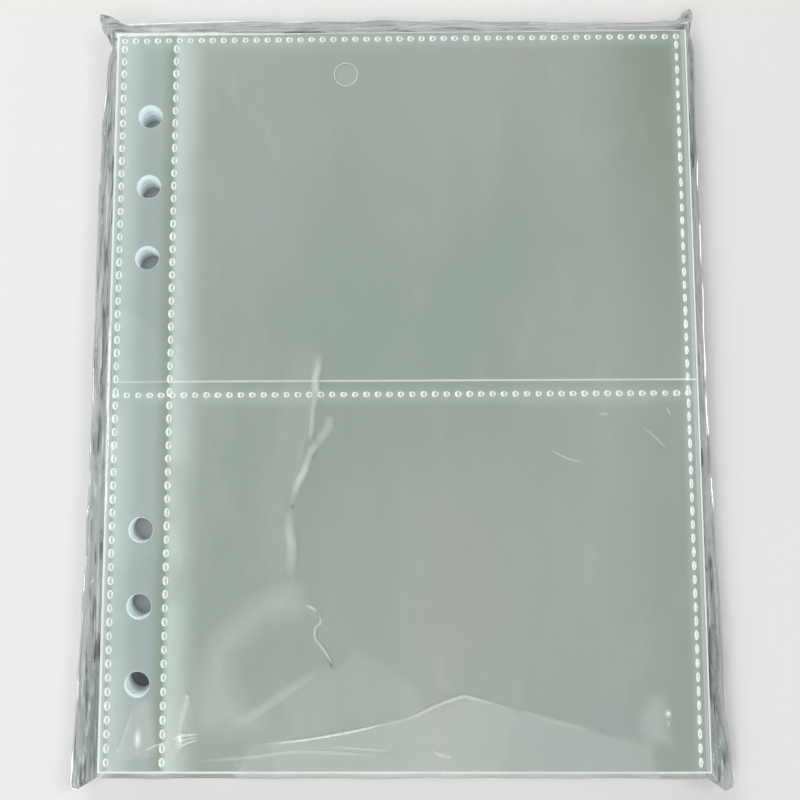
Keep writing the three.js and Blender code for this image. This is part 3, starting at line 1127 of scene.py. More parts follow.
@dataclass
class WeldDots:
    """Lines of embossed weld dots, each two crescents round a thin middle, the crescents in the near-white
    finish whose painted glow paints their highlight.
    """

    rim: bpy.types.Material
    middle: bpy.types.Material
    thickness: float = 0.54 * MM
    thinnest: float = 0.3
    lean: float = 0.13
    rim_steps: int = 14
    unevenness: float = 0.09
    flatness: tuple[float, float] = (0.3, 0.38)
    button_share: float = 0.8
    button_height: float = 0.35
    _tree: bpy.types.NodeTree | None = field(default=None, repr=False)

    def _add(self, tree: bpy.types.NodeTree, kind: str, **inputs: object) -> bpy.types.Node:
        """Add a node to the tree and fill or link its inputs by name."""
        made = tree.nodes.new(kind)
        for name, value in inputs.items():
            socket = made.inputs[name.replace("_", " ")]
            if isinstance(value, bpy.types.NodeSocket):
                tree.links.new(value, socket)
            else:
                socket.default_value = value
        return made

    def _math(self, tree: bpy.types.NodeTree, operation: str, *values: object) -> bpy.types.NodeSocket:
        """Work out one number in the tree from one or two."""
        made = tree.nodes.new("ShaderNodeMath")
        made.operation = operation
        for socket, value in zip(made.inputs, values):
            if isinstance(value, bpy.types.NodeSocket):
                tree.links.new(value, socket)
            else:
                socket.default_value = value
        return made.outputs[0]

    def _ring(self, tree: bpy.types.NodeTree, given: bpy.types.NodeOutputs) -> bpy.types.NodeSocket:
        """The oval rim of one dot, thick at its left and right and thin at its ends.

        Args:
            tree: The node tree.
            given: The tree's inputs.

        Returns:
            The rim's mesh, marked as rim.
        """
        width = self._math(tree, "SUBTRACT", given["Width"], given["Thickness"])
        length = self._math(tree, "SUBTRACT", given["Length"], given["Thickness"])
        size = self._add(tree, "ShaderNodeCombineXYZ", X=width, Y=length, Z=1.0)
        oval = self._add(tree, "GeometryNodeCurvePrimitiveCircle", Resolution=self.rim_steps, Radius=0.5)
        shaped = self._add(
            tree, "GeometryNodeTransform", Geometry=oval.outputs["Curve"], Scale=size.outputs[0]
        )
        place = self._add(tree, "GeometryNodeInputPosition")
        across = self._add(tree, "ShaderNodeSeparateXYZ", Vector=place.outputs[0]).outputs[0]
        share = self._math(tree, "SUBTRACT", self._math(tree, "DIVIDE", across, width), self.lean)
        swell = tree.nodes.new("ShaderNodeMapRange")
        tree.links.new(self._math(tree, "ABSOLUTE", share), swell.inputs["Value"])
        swell.inputs["From Min"].default_value = 0.12
        swell.inputs["From Max"].default_value = 0.5
        swell.inputs["To Min"].default_value = self.thinnest
        radius = self._math(tree, "MULTIPLY", given["Thickness"], 0.5)
        profile = self._add(tree, "GeometryNodeCurvePrimitiveCircle", Resolution=8, Radius=radius)
        ring = self._add(
            tree,
            "GeometryNodeCurveToMesh",
            Curve=shaped.outputs["Geometry"],
            Profile_Curve=profile.outputs["Curve"],
            Scale=swell.outputs["Result"],
        )
        marked = tree.nodes.new("GeometryNodeStoreNamedAttribute")
        marked.data_type = "BOOLEAN"
        marked.domain = "FACE"
        marked.inputs["Name"].default_value = "rim"
        marked.inputs["Value"].default_value = True
        tree.links.new(ring.outputs["Mesh"], marked.inputs["Geometry"])
        return marked.outputs["Geometry"]

    def _lens(self, tree: bpy.types.NodeTree, given: bpy.types.NodeOutputs) -> bpy.types.NodeSocket:
        """The flat button in the middle of one dot."""
        button = self._add(tree, "GeometryNodeMeshUVSphere", Segments=10, Rings=5, Radius=0.5)
        size = self._add(
            tree,
            "ShaderNodeCombineXYZ",
            X=self._math(tree, "MULTIPLY", given["Width"], self.button_share),
            Y=self._math(tree, "MULTIPLY", given["Length"], self.button_share),
            Z=self._math(tree, "MULTIPLY", given["Thickness"], self.button_height),
        )
        return self._add(
            tree, "GeometryNodeTransform", Geometry=button.outputs["Mesh"], Scale=size.outputs[0]
        ).outputs["Geometry"]

    def tree(self) -> bpy.types.NodeTree:
        """The node tree that lays one line of dots, made once.

        Returns:
            The tree, whose inputs are the line's ends and count, and the size of its dots.
        """
        if self._tree:
            return self._tree
        tree = bpy.data.node_groups.new("weld_dot_line", "GeometryNodeTree")
        inputs = {"Start": "Vector", "End": "Vector", "Count": "Int", "Width": "Float",
                  "Length": "Float", "Thickness": "Float", "Seed": "Int"}
        for name, kind in inputs.items():
            tree.interface.new_socket(name, in_out="INPUT", socket_type=f"NodeSocket{kind}")
        tree.interface.new_socket("Geometry", in_out="OUTPUT", socket_type="NodeSocketGeometry")
        given = tree.nodes.new("NodeGroupInput").outputs
        line = tree.nodes.new("GeometryNodeMeshLine")
        line.mode = "END_POINTS"
        tree.links.new(given["Count"], line.inputs["Count"])
        tree.links.new(given["Start"], line.inputs["Start Location"])
        tree.links.new(given["End"], line.inputs["Offset"])
        dot = tree.nodes.new("GeometryNodeJoinGeometry")
        tree.links.new(self._lens(tree, given), dot.inputs["Geometry"])
        tree.links.new(self._ring(tree, given), dot.inputs["Geometry"])
        size = tree.nodes.new("FunctionNodeRandomValue")
        size.data_type = "FLOAT_VECTOR"
        sides = (1 - self.unevenness, 1 + self.unevenness)
        for socket, side, flatness in zip(size.inputs, sides, self.flatness):
            socket.default_value = (side, side, flatness)
        tree.links.new(given["Seed"], size.inputs["Seed"])
        laid = self._add(
            tree,
            "GeometryNodeInstanceOnPoints",
            Points=line.outputs["Mesh"],
            Instance=dot.outputs["Geometry"],
            Scale=size.outputs[0],
        )
        real = self._add(tree, "GeometryNodeRealizeInstances", Geometry=laid.outputs["Instances"])
        smooth = self._add(tree, "GeometryNodeSetShadeSmooth", Geometry=real.outputs["Geometry"])
        dressed = self._add(
            tree, "GeometryNodeSetMaterial", Geometry=smooth.outputs["Geometry"], Material=self.middle
        )
        # Rim faces take the near-white finish with its painted glow: painted highlight.
        is_rim = tree.nodes.new("GeometryNodeInputNamedAttribute")
        is_rim.data_type = "BOOLEAN"
        is_rim.inputs["Name"].default_value = "rim"
        rimmed = self._add(
            tree,
            "GeometryNodeSetMaterial",
            Geometry=dressed.outputs["Geometry"],
            Selection=is_rim.outputs["Attribute"],
            Material=self.rim,
        )
        out = tree.nodes.new("NodeGroupOutput")
        tree.links.new(rimmed.outputs["Geometry"], out.inputs["Geometry"])
        self._tree = tree
        return tree

    def line(
        self, name: str, ends: tuple[Vector, Vector], pitch: float, size: Point2, seed: int
    ) -> bpy.types.Object:
        """Lay one line of dots and turn it into a plain mesh.

        Args:
            name: The name of the object that results.
            ends: Centres of the first and the last dot.
            pitch: Distance from dot to dot, met as nearly as whole steps allow.
            size: Width along X and length along Y of a dot.
            seed: Fixes the dots' small differences.

        Returns:
            An object with a plain mesh.
        """
        start, end = ends
        carrier = bpy.data.objects.new(name, bpy.data.meshes.new(name))
        bpy.context.scene.collection.objects.link(carrier)
        modifier = carrier.modifiers.new("dots", "NODES")
        modifier.node_group = self.tree()
        values = {
            "Start": tuple(start),
            "End": tuple(end),
            "Count": max(2, round((end - start).length / pitch) + 1),
            "Width": size[0],
            "Length": size[1],
            "Thickness": self.thickness,
            "Seed": seed,
        }
        for item in modifier.node_group.interface.items_tree:
            if item.in_out == "INPUT":
                modifier[item.identifier] = values[item.name]
        graph = bpy.context.evaluated_depsgraph_get()
        mesh = bpy.data.meshes.new_from_object(carrier.evaluated_get(graph))
        carrier.modifiers.remove(modifier)
        carrier.data = mesh
        return carrier


def joined_objects(name: str, pieces: Sequence[bpy.types.Object]) -> bpy.types.Object:
    """Join plain mesh objects into one under a new name.

    Args:
        name: The joined piece's name.
        pieces: Objects that sit at the origin.

    Returns:
        The joined object.
    """
    bpy.ops.object.select_all(action="DESELECT")
    for piece in pieces:
        piece.select_set(True)
    bpy.context.view_layer.objects.active = pieces[0]
    bpy.ops.object.join()
    result = bpy.context.view_layer.objects.active
    result.name = name
    result.data.name = name
    return result


@dataclass
class TopPage:
    """The page that shows: back film, two pocket films that swell a little, and their weld dots."""

    layout: PageLayout
    material: bpy.types.Material
    dots: WeldDots
    film: float = 0.06 * MM
    weld_depth: float = 0.12 * MM
    weld_band: float = 2.4 * MM
    swell: float = 0.13 * MM
    swell_length: float = 55.0 * MM
    rise_from: float = 0.6 * MM
    rise_to: float = 7.0 * MM
    scallop: float = 0.04 * MM
    scallop_reach: float = 2.2 * MM
    row_pitch: float = 2.95 * MM
    column_pitch: float = 3.39 * MM
    column_dot: Point2 = (1.6 * MM, 2.5 * MM)
    right_dot: Point2 = (1.1 * MM, 2.75 * MM)
    row_dot: Point2 = (1.8 * MM, 1.75 * MM)
    spacing: float = 1.6 * MM

    def _relief(self, flat: np.ndarray, closed_weld: float) -> np.ndarray:
        """How far a pocket film stands above its welds.

        Args:
            flat: The film's points.
            closed_weld: Y of the weld that closes this pocket.

        Returns:
            A height for each point.
        """
        columns = self.layout.weld_columns
        x, y = flat[:, 0], flat[:, 1]
        nearest = np.min([np.abs(x - line) for line in columns.values()], axis=0)
        nearest = np.minimum(nearest, np.abs(y - closed_weld))
        rise = smooth_step(nearest, self.rise_from, self.rise_to)
        pocket = smooth_step(x, columns["strip"], columns["strip"] + 3 * MM)
        waves = 0.5 + 0.5 * undulation(flat, self.swell_length, seed=3)
        fade = np.exp(-((nearest / self.scallop_reach) ** 2))
        pucker = np.sin(math.tau * y / self.column_pitch) * fade
        return rise * self.swell * (0.35 + 0.65 * pocket * waves) + self.scallop * 0.5 * pucker

    def _pocket_film(self, name: str, low: float, high: float, closed_weld: float, node: str):
        """Build one pocket film from its outline and relief.

        Args:
            name: The piece's name.
            low: Y of its lower edge.
            high: Y of its upper edge.
            closed_weld: Y of the weld that closes the pocket.
            node: The CAD node that it replaces.

        Returns:
            The film's piece.
        """
        layout = self.layout
        near = np.linspace(-self.weld_band, self.weld_band, 5)
        region = Region(
            layout.rectangle(low, high),
            layout.holes_between(low, high),
            self.spacing,
            [line + offset for line in layout.weld_columns.values() for offset in near],
            [closed_weld + offset for offset in near],
        )
        flat, faces = region.triangles()
        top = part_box(node)[1].z - self.weld_depth
        height = self._relief(flat, closed_weld)
        upper = np.column_stack([flat, top + height])
        lower = np.column_stack([flat, top + height - self.film])
        piece = mesh_piece(name, *closed_film(upper, lower, faces), self.material)
        return placed(piece, Body.TOP_PAGE, Slot.PAGE, node)

    def _back_film(self) -> bpy.types.Object:
        """Build the back film, flat under the pockets."""
        layout = self.layout
        low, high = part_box("page_01_back_film")
        holes = layout.holes_between(layout.low, layout.high)
        region = Region(layout.rectangle(layout.low, layout.high), holes, FLAT_SPACING)
        plate = flat_plate(region, low.z, high.z)
        piece = mesh_piece("top_page_back_film", *plate, self.material, smooth=False)
        return placed(piece, Body.TOP_PAGE, Slot.PAGE, "page_01_back_film")

    def _weld_lines(self) -> list[bpy.types.Object]:
        """Lay the weld rows and columns on the pocket films."""
        layout = self.layout
        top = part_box("page_01_upper_pocket_film")[1].z - self.weld_depth
        columns, rows = layout.weld_columns, layout.weld_rows
        pieces: list[bpy.types.Object] = []
        low, high = layout.low + 2.5 * MM, rows["top"] - 2.3 * MM
        for number, (name, x) in enumerate(columns.items()):
            size = self.right_dot if name == "right" else self.column_dot
            ends = (Vector((x, low, top)), Vector((x, high, top)))
            pieces.append(self.dots.line(f"{name}_weld", ends, self.column_pitch, size, seed=10 + number))
        for number, (name, y) in enumerate(rows.items()):
            ends = (Vector((columns["left"], y, top)), Vector((columns["right"], y, top)))
            line = self.dots.line(f"{name}_weld", ends, self.row_pitch, self.row_dot, seed=20 + number)
            pieces.append(line)
        return pieces

    def build(self) -> list[bpy.types.Object]:
        """Build the top page.

        Returns:
            Its pieces.
        """
        layout = self.layout
        slit = layout.mouth_slit / 2
        films = [
            self._back_film(),
            self._pocket_film(
                "top_page_upper_pocket_film",
                layout.mouth + slit,
                layout.high,
                layout.weld_rows["top"],
                "page_01_upper_pocket_film",
            ),
            self._pocket_film(
                "top_page_lower_pocket_film",
                layout.low,
                layout.mouth - slit,
                layout.weld_rows["divider"],
                "page_01_lower_pocket_film",
            ),
        ]
        welds = joined_objects("top_page_weld_dots", self._weld_lines())
        placed(welds, Body.TOP_PAGE, Slot.PAGE)
        return [*films, welds]


@dataclass(frozen=True)
class Crease:
    """A soft ridge in the front film, along a path measured from the middle of the page."""

    path: Sequence[Point2]
    height: float
    width: float

    def rise(self, flat: np.ndarray, middle: Point2) -> np.ndarray:
        """Height that the crease adds at each point.

        Args:
            flat: The points.
            middle: The middle of the page.

        Returns:
            One height for each point.
        """
        path = [(x * MM + middle[0], y * MM + middle[1]) for x, y in self.path]
        return self.height * np.exp(-((distance_to_path(flat, path) / self.width) ** 2))


FRONT_CREASES = (
    Crease([(-20.5, 8.6), (-21.4, -3.0), (-23.9, -15.7), (-28.3, -40.0)], 0.25 * MM, 1.7 * MM),
    Crease([(-38.0, -88.3), (-20.5, -86.4), (1.2, -81.8), (15.2, -76.7)], 0.08 * MM, 2.0 * MM),
    Crease([(15.2, -76.7), (29.0, -80.0), (48.2, -84.8)], 0.1 * MM, 2.2 * MM),
    Crease([(-21.2, -56.0), (-21.9, -61.6), (-17.2, -69.4)], 0.12 * MM, 1.8 * MM),
    Crease([(-17.1, -68.7), (-30.4, -75.9), (-47.1, -85.0)], 0.14 * MM, 2.6 * MM),
    Crease([(-66.5, -77.6), (-69.0, -88.0)], 0.12 * MM, 2.0 * MM),
    Crease([(-53.7, -75.4), (-56.5, -91.0)], 0.14 * MM, 1.8 * MM),
    Crease([(-18.4, 6.7), (-0.5, 9.2), (20.0, 5.5)], 0.15 * MM, 3.0 * MM),
)


@dataclass(frozen=True)
class Facet:
    """A flat of the front film painted paler as a painted reflection, with its corners from the middle of
    the page.
    """

    corners: Sequence[Point2]
    amount: float
    softness: float

    def haze(self, flat: np.ndarray, middle: Point2) -> np.ndarray:
        """Painted reflection that the facet adds at each point.

        Args:
            flat: The points.
            middle: The middle of the page.

        Returns:
            One share for each point.
        """
        corners = [(x * MM + middle[0], y * MM + middle[1]) for x, y in self.corners]
        edge = distance_to_path(flat, [*corners, corners[0]])
        signed = np.where(within(flat, corners), edge, -edge)
        return self.amount * smooth_step(signed, -self.softness, self.softness)


# Flats of the front film painted paler: painted reflection.
FRONT_SHEEN_FACETS = (
    Facet(
        [(-42.0, -97.0), (-38.0, -88.3), (-20.5, -86.4), (1.2, -81.8), (15.2, -76.7), (29.0, -80.0),
         (48.2, -85.3), (61.0, -88.6), (62.0, -97.0)],
        0.13,
        0.9 * MM,
    ),
    Facet([(-65.9, -77.6), (-71.2, -92.6), (-60.8, -90.2), (-62.6, -77.6)], 0.2, 1.0 * MM),
    Facet(
        [(-54.2, -75.7), (-52.7, -77.8), (-54.7, -89.8), (-57.1, -92.1), (-57.2, -86.4), (-55.2, -78.5)],
        0.25,
        1.2 * MM,
    ),
    Facet([(61.2, -77.4), (64.1, -77.4), (64.8, -87.4), (59.9, -87.4), (58.6, -82.7)], 0.2, 3.0 * MM),
    Facet(
        [(-28.2, -50.1), (-35.2, -52.6), (-46.8, -62.8), (-51.3, -74.9), (-51.1, -85.2), (-36.5, -84.1),
         (-42.3, -74.9), (-43.5, -66.5), (-35.1, -58.5), (-25.6, -55.1)],
        0.2,
        5.0 * MM,
    ),
    Facet(
        [(-21.4, 9.0), (-22.1, 2.4), (-23.0, -11.0), (-24.5, -20.3), (-27.9, -28.4), (-28.7, -35.0),
         (-28.0, -47.0), (-36.0, -46.0), (-36.0, -25.0), (-31.0, 0.0), (-27.0, 9.0)],
        0.07,
        4.5 * MM,
    ),
)


@dataclass(frozen=True)
class Streak:
    """A painted highlight line on the front film, along a path in millimetres from the middle of the page.
    """

    path: Sequence[Point2]
    width: float
    strength: float
    taper: float = 0.35

    def line(self, middle: Point2) -> np.ndarray:
        """The points of its path, in metres."""
        return smooth_path(self.path) * MM + middle

    def highlight_share(self, flat: np.ndarray, middle: Point2) -> np.ndarray:
        """How much painted highlight the line gives each point, from 0 to 1."""
        away, place = nearest_on_path(flat, self.line(middle))
        ends = smooth_step(np.minimum(place, 1.0 - place) / self.taper, 0.0, 1.0)
        beside = np.clip(1.0 - (away / (self.width / 2)) ** 2, 0.0, 1.0)
        return self.strength * ends * beside**1.6

    def covers(self, flat: np.ndarray, middle: Point2) -> np.ndarray:
        """Whether each point lies beside the line and within its width."""
        away, place = nearest_on_path(flat, self.line(middle))
        return (away < self.width / 2) & (place > 0.0) & (place < 1.0)


# Painted highlights: white lines along the creases and the left fold, and small glints.
FRONT_HIGHLIGHT_STREAKS = (
    Streak([(-20.9, 10.2), (-21.4, 5.7), (-22.1, 2.4), (-21.9, -3.0), (-22.1, -6.0)], 2.8 * MM, 0.42, 0.4),
    Streak([(-22.3, -1.5), (-22.9, -8.1), (-23.4, -14.5)], 2.0 * MM, 0.28, 0.3),
    Streak([(-18.5, -6.0), (-18.8, -10.2), (-20.5, -12.5), (-24.0, -17.5)], 3.2 * MM, 0.28, 0.2),
    Streak([(-22.4, -13.0), (-24.5, -20.3), (-26.3, -23.9), (-28.2, -30.0)], 2.6 * MM, 0.48, 0.45),
    Streak([(-28.9, -29.3), (-28.2, -36.8), (-27.8, -40.0), (-28.3, -49.0)], 3.6 * MM, 0.36, 0.45),
    Streak([(-24.4, -54.4), (-23.2, -54.7), (-21.2, -56.0)], 0.9 * MM, 0.5),
    Streak(
        [(-21.2, -56.0), (-20.4, -58.5), (-21.7, -59.7), (-22.0, -61.6), (-21.3, -63.2), (-19.7, -65.2),
         (-18.3, -67.4), (-17.2, -69.4)],
        0.9 * MM,
        0.38,
        0.2,
    ),
    Streak([(-17.1, -68.7), (-25.5, -73.3), (-35.3, -79.8), (-42.0, -83.5), (-47.1, -85.0)], 4.0 * MM, 0.2),
    Streak([(-38.0, -88.3), (-29.1, -87.5), (-20.5, -86.4), (-9.4, -84.3), (1.2, -81.8)], 0.9 * MM, 0.7),
    Streak([(-8.0, -84.1), (1.2, -81.8), (7.8, -78.9), (13.0, -77.0), (15.2, -76.4), (17.4, -77.0),
            (21.9, -78.2), (29.1, -80.0)], 1.2 * MM, 0.4),
    Streak([(26.5, -79.2), (38.5, -82.9), (50.0, -85.3)], 2.0 * MM, 0.2),
    Streak([(-56.9, -92.4), (-36.9, -91.0), (-26.9, -89.8), (-11.9, -90.3), (1.6, -91.0)], 1.2 * MM, 0.28),
    Streak([(-20.0, -88.3), (-10.2, -89.1), (-0.8, -89.9)], 1.0 * MM, 0.3),
    Streak([(-64.8, -89.9), (-61.1, -88.3), (-57.2, -87.0)], 0.8 * MM, 0.5),
    Streak([(-58.4, -87.6), (-55.0, -86.0), (-49.5, -85.5)], 0.8 * MM, 0.6),
    Streak([(-56.5, -89.3), (-52.5, -87.4), (-49.8, -86.8)], 0.7 * MM, 0.6),
    Streak([(-56.3, -87.3), (-53.0, -86.7), (-50.0, -86.1)], 0.6 * MM, 0.6),
    Streak([(-65.3, -81.5), (-65.4, -86.9), (-65.2, -91.5)], 3.2 * MM, 0.45, 0.5),
    Streak([(-65.6, -84.4), (-65.6, -87.0), (-65.5, -89.4)], 1.5 * MM, 0.8, 0.5),
    Streak([(-54.9, -83.6), (-55.1, -86.9), (-55.4, -90.2)], 2.6 * MM, 0.45, 0.5),
    Streak([(-55.0, -85.0), (-55.0, -87.0), (-55.1, -89.0)], 1.3 * MM, 0.85, 0.5),
    Streak([(-53.9, -74.8), (-53.3, -77.3), (-54.6, -81.4), (-55.6, -85.7)], 1.8 * MM, 0.3),
    Streak([(-53.5, -75.8), (-53.2, -77.4)], 0.9 * MM, 0.7, 0.5),
    Streak([(-65.9, -77.0), (-67.9, -83.3), (-71.0, -92.1)], 1.0 * MM, 0.22),
    Streak([(65.1, -79.6), (65.1, -81.9)], 1.9 * MM, 0.97, 0.5),
    Streak([(65.2, -82.0), (65.1, -84.2)], 0.7 * MM, 0.6, 0.5),
    Streak([(6.6, -89.2), (9.0, -90.5), (12.6, -91.2)], 1.3 * MM, 0.4),
    Streak([(49.0, -6.9), (53.0, -6.9)], 0.9 * MM, 0.35, 0.5),
    Streak([(66.7, -4.5), (68.3, -8.0)], 1.0 * MM, 0.35, 0.5),
    Streak([(36.5, -15.3), (41.4, -18.0), (46.6, -19.3)], 0.9 * MM, 0.28),
    Streak([(59.8, -9.4), (63.9, -12.8), (67.5, -17.0)], 1.1 * MM, 0.22),
    Streak([(-75.1, 18.0), (-75.1, 6.0), (-75.2, -8.0)], 1.3 * MM, 0.9, 0.15),
    Streak([(-75.3, -7.5), (-75.3, -26.0)], 0.8 * MM, 0.5, 0.3),
)


@dataclass(frozen=True)
class BagOutline:
    """The straight folds of the bag round the stack, and the line where its films meet.

    Lengths are measured from the middle of the page. The line's corners are in millimetres.
    """

    fold_left: float = -75.8 * MM
    fold_right: float = 75.8 * MM
    fold_mouth: float = -96.0 * MM
    fold_end: float = 95.15 * MM
    mouth_line: float = -97.7 * MM
    left: Sequence[Point2] = (
        (-82.5, -100.9), (-84.1, -100.5), (-84.0, -98.2), (-83.8, -93.8), (-83.4, -88.8), (-83.1, -79.0),
        (-82.5, -66.0), (-82.0, -50.0), (-81.6, -28.0), (-81.4, -8.0), (-81.3, 14.0), (-81.2, 35.0),
        (-81.0, 57.0), (-80.7, 69.0), (-80.2, 80.0), (-79.6, 90.0), (-78.8, 94.4), (-78.5, 95.9),
        (-79.8, 97.6), (-81.2, 99.1), (-82.0, 101.1), (-82.4, 103.4),
    )
    end: Sequence[Point2] = (
        (-82.4, 103.4), (-80.2, 103.1), (-78.7, 102.5), (-77.4, 101.7), (-75.9, 101.1), (-75.0, 100.5),
        (-72.0, 100.7), (-60.5, 101.2), (-38.0, 101.4), (0.0, 101.1), (27.0, 100.8), (48.8, 100.3),
        (59.7, 99.9), (67.9, 100.2), (71.5, 100.5), (74.1, 100.4), (75.9, 101.3), (77.0, 103.2),
        (78.5, 103.8),
    )
    right: Sequence[Point2] = (
        (78.5, 103.8), (79.1, 102.3), (78.8, 100.8), (78.0, 98.0), (78.3, 96.4), (79.1, 93.5),
        (79.2, 90.2), (79.0, 79.0), (79.0, 67.0), (79.2, 45.0), (79.3, 24.0), (79.3, 13.0),
        (79.3, -8.0), (79.8, -18.6), (80.0, -36.0), (80.4, -49.0), (80.8, -60.0), (81.1, -79.0),
        (82.1, -88.9), (82.3, -96.2), (82.4, -99.9), (80.3, -101.1),
    )

    @property
    def left_end_ear(self) -> np.ndarray:
        """Tip of the ear at the left of the closed end."""
        return np.array(self.end[0]) * MM

    def rim(self, side_steps: int, end_steps: int) -> np.ndarray:
        """Walk up the left side, across the closed end and down the right side.

        Args:
            side_steps: Steps along each side.
            end_steps: Steps along the closed end.

        Returns:
            The points of the line where the films meet.
        """
        left, end, right = (
            evenly(smooth_path(corners), steps) * MM
            for corners, steps in ((self.left, side_steps), (self.end, end_steps), (self.right, side_steps))
        )
        return np.vstack([left, end[1:], right[1:]])


@dataclass(frozen=True)
class Ridge:
    """A sharp fold in the film beside the stack, in shares of the way along and across it."""

    start: Point2
    end: Point2
    height: float
    width: float


LEFT_RIDGES = (
    Ridge((0.0, 0.95), (0.30, 0.30), 0.9 * MM, 0.7 * MM),
    Ridge((0.0, 0.8), (0.17, 0.12), 0.8 * MM, 0.6 * MM),
    Ridge((0.0, 0.98), (0.55, 0.62), 0.7 * MM, 0.6 * MM),
    Ridge((0.18, 0.75), (0.40, 0.42), 0.6 * MM, 0.5 * MM),
    Ridge((0.42, 0.35), (0.70, 0.30), 0.5 * MM, 0.5 * MM),
    Ridge((0.62, 0.66), (0.98, 0.86), 0.6 * MM, 0.5 * MM),
    Ridge((0.80, 0.25), (0.99, 0.70), 0.7 * MM, 0.6 * MM),
)
END_RIDGES = (
    Ridge((0.0, 0.9), (0.13, 0.25), 0.4 * MM, 0.6 * MM),
    Ridge((0.02, 0.98), (0.30, 0.70), 0.3 * MM, 0.5 * MM),
    Ridge((0.33, 0.45), (0.58, 0.55), 0.3 * MM, 0.6 * MM),
    Ridge((0.965, 0.05), (0.995, 0.8), 0.6 * MM, 0.4 * MM),
    Ridge((0.98, 0.97), (0.72, 0.66), 0.5 * MM, 0.5 * MM),
)
RIGHT_RIDGES = (
    Ridge((0.0, 0.9), (0.20, 0.25), 0.7 * MM, 0.5 * MM),
    Ridge((0.05, 0.95), (0.45, 0.60), 0.5 * MM, 0.45 * MM),
    Ridge((0.40, 0.40), (0.62, 0.35), 0.4 * MM, 0.45 * MM),
    Ridge((1.0, 0.95), (0.72, 0.35), 0.8 * MM, 0.6 * MM),
    Ridge((1.0, 0.8), (0.86, 0.15), 0.7 * MM, 0.5 * MM),
    Ridge((0.97, 0.98), (0.58, 0.68), 0.5 * MM, 0.45 * MM),
)


@dataclass
class FilmGrid:
    """A grid of points over the stack with a band of points round three sides of it."""

    layout: PageLayout
    outline: BagOutline
    spacing: float
    rings: int
    fold_shift: float = 0.0

    def __post_init__(self) -> None:
        """Lay out the grid and walk its rim."""
        lines = self.outline
        self.centre = np.array([(self.layout.left + self.layout.right) / 2, self.layout.middle])
        left, right = lines.fold_left + self.fold_shift, lines.fold_right
        self.columns = round((right - left) / self.spacing)
        self.rows = round((lines.fold_end - lines.fold_mouth) / self.spacing)
        xs = np.linspace(left, right, self.columns + 1)
        ys = np.linspace(lines.fold_mouth, lines.fold_end, self.rows + 1)
        self.grid = np.array(np.meshgrid(xs, ys)).reshape(2, -1).T + self.centre
        wide = self.columns + 1
        up = [row * wide for row in range(self.rows + 1)]
        across = [self.rows * wide + column for column in range(1, wide)]
        down = [row * wide + self.columns for row in range(self.rows - 1, -1, -1)]
        self.rim_index = [*up, *across, *down]
        self.rim = lines.rim(self.rows, self.columns) + self.centre
        left_share = np.linspace(0.0, 1.0, self.rows + 1)
        end_share = np.linspace(0.0, 1.0, self.columns + 1)[1:]
        self.share = np.concatenate([left_share, end_share, left_share[1:]])
        self.side = np.repeat([0, 1, 2], [self.rows + 1, self.columns, self.rows])
        self.inner = self.grid[self.rim_index]
        self.reach = np.linalg.norm(self.rim - self.inner, axis=1)
        steps = np.diff(self.rim, axis=0, prepend=self.rim[:1])
        self.along = np.cumsum(np.linalg.norm(steps, axis=1))

    def cells(self, open_cells: set[tuple[int, int]]) -> list[tuple[int, ...]]:
        """Faces of the grid, but for the cells left open."""
        wide = self.columns + 1
        return [
            (row * wide + column, row * wide + column + 1, (row + 1) * wide + column + 1,
             (row + 1) * wide + column)
            for row in range(self.rows)
            for column in range(self.columns)
            if (column, row) not in open_cells
        ]


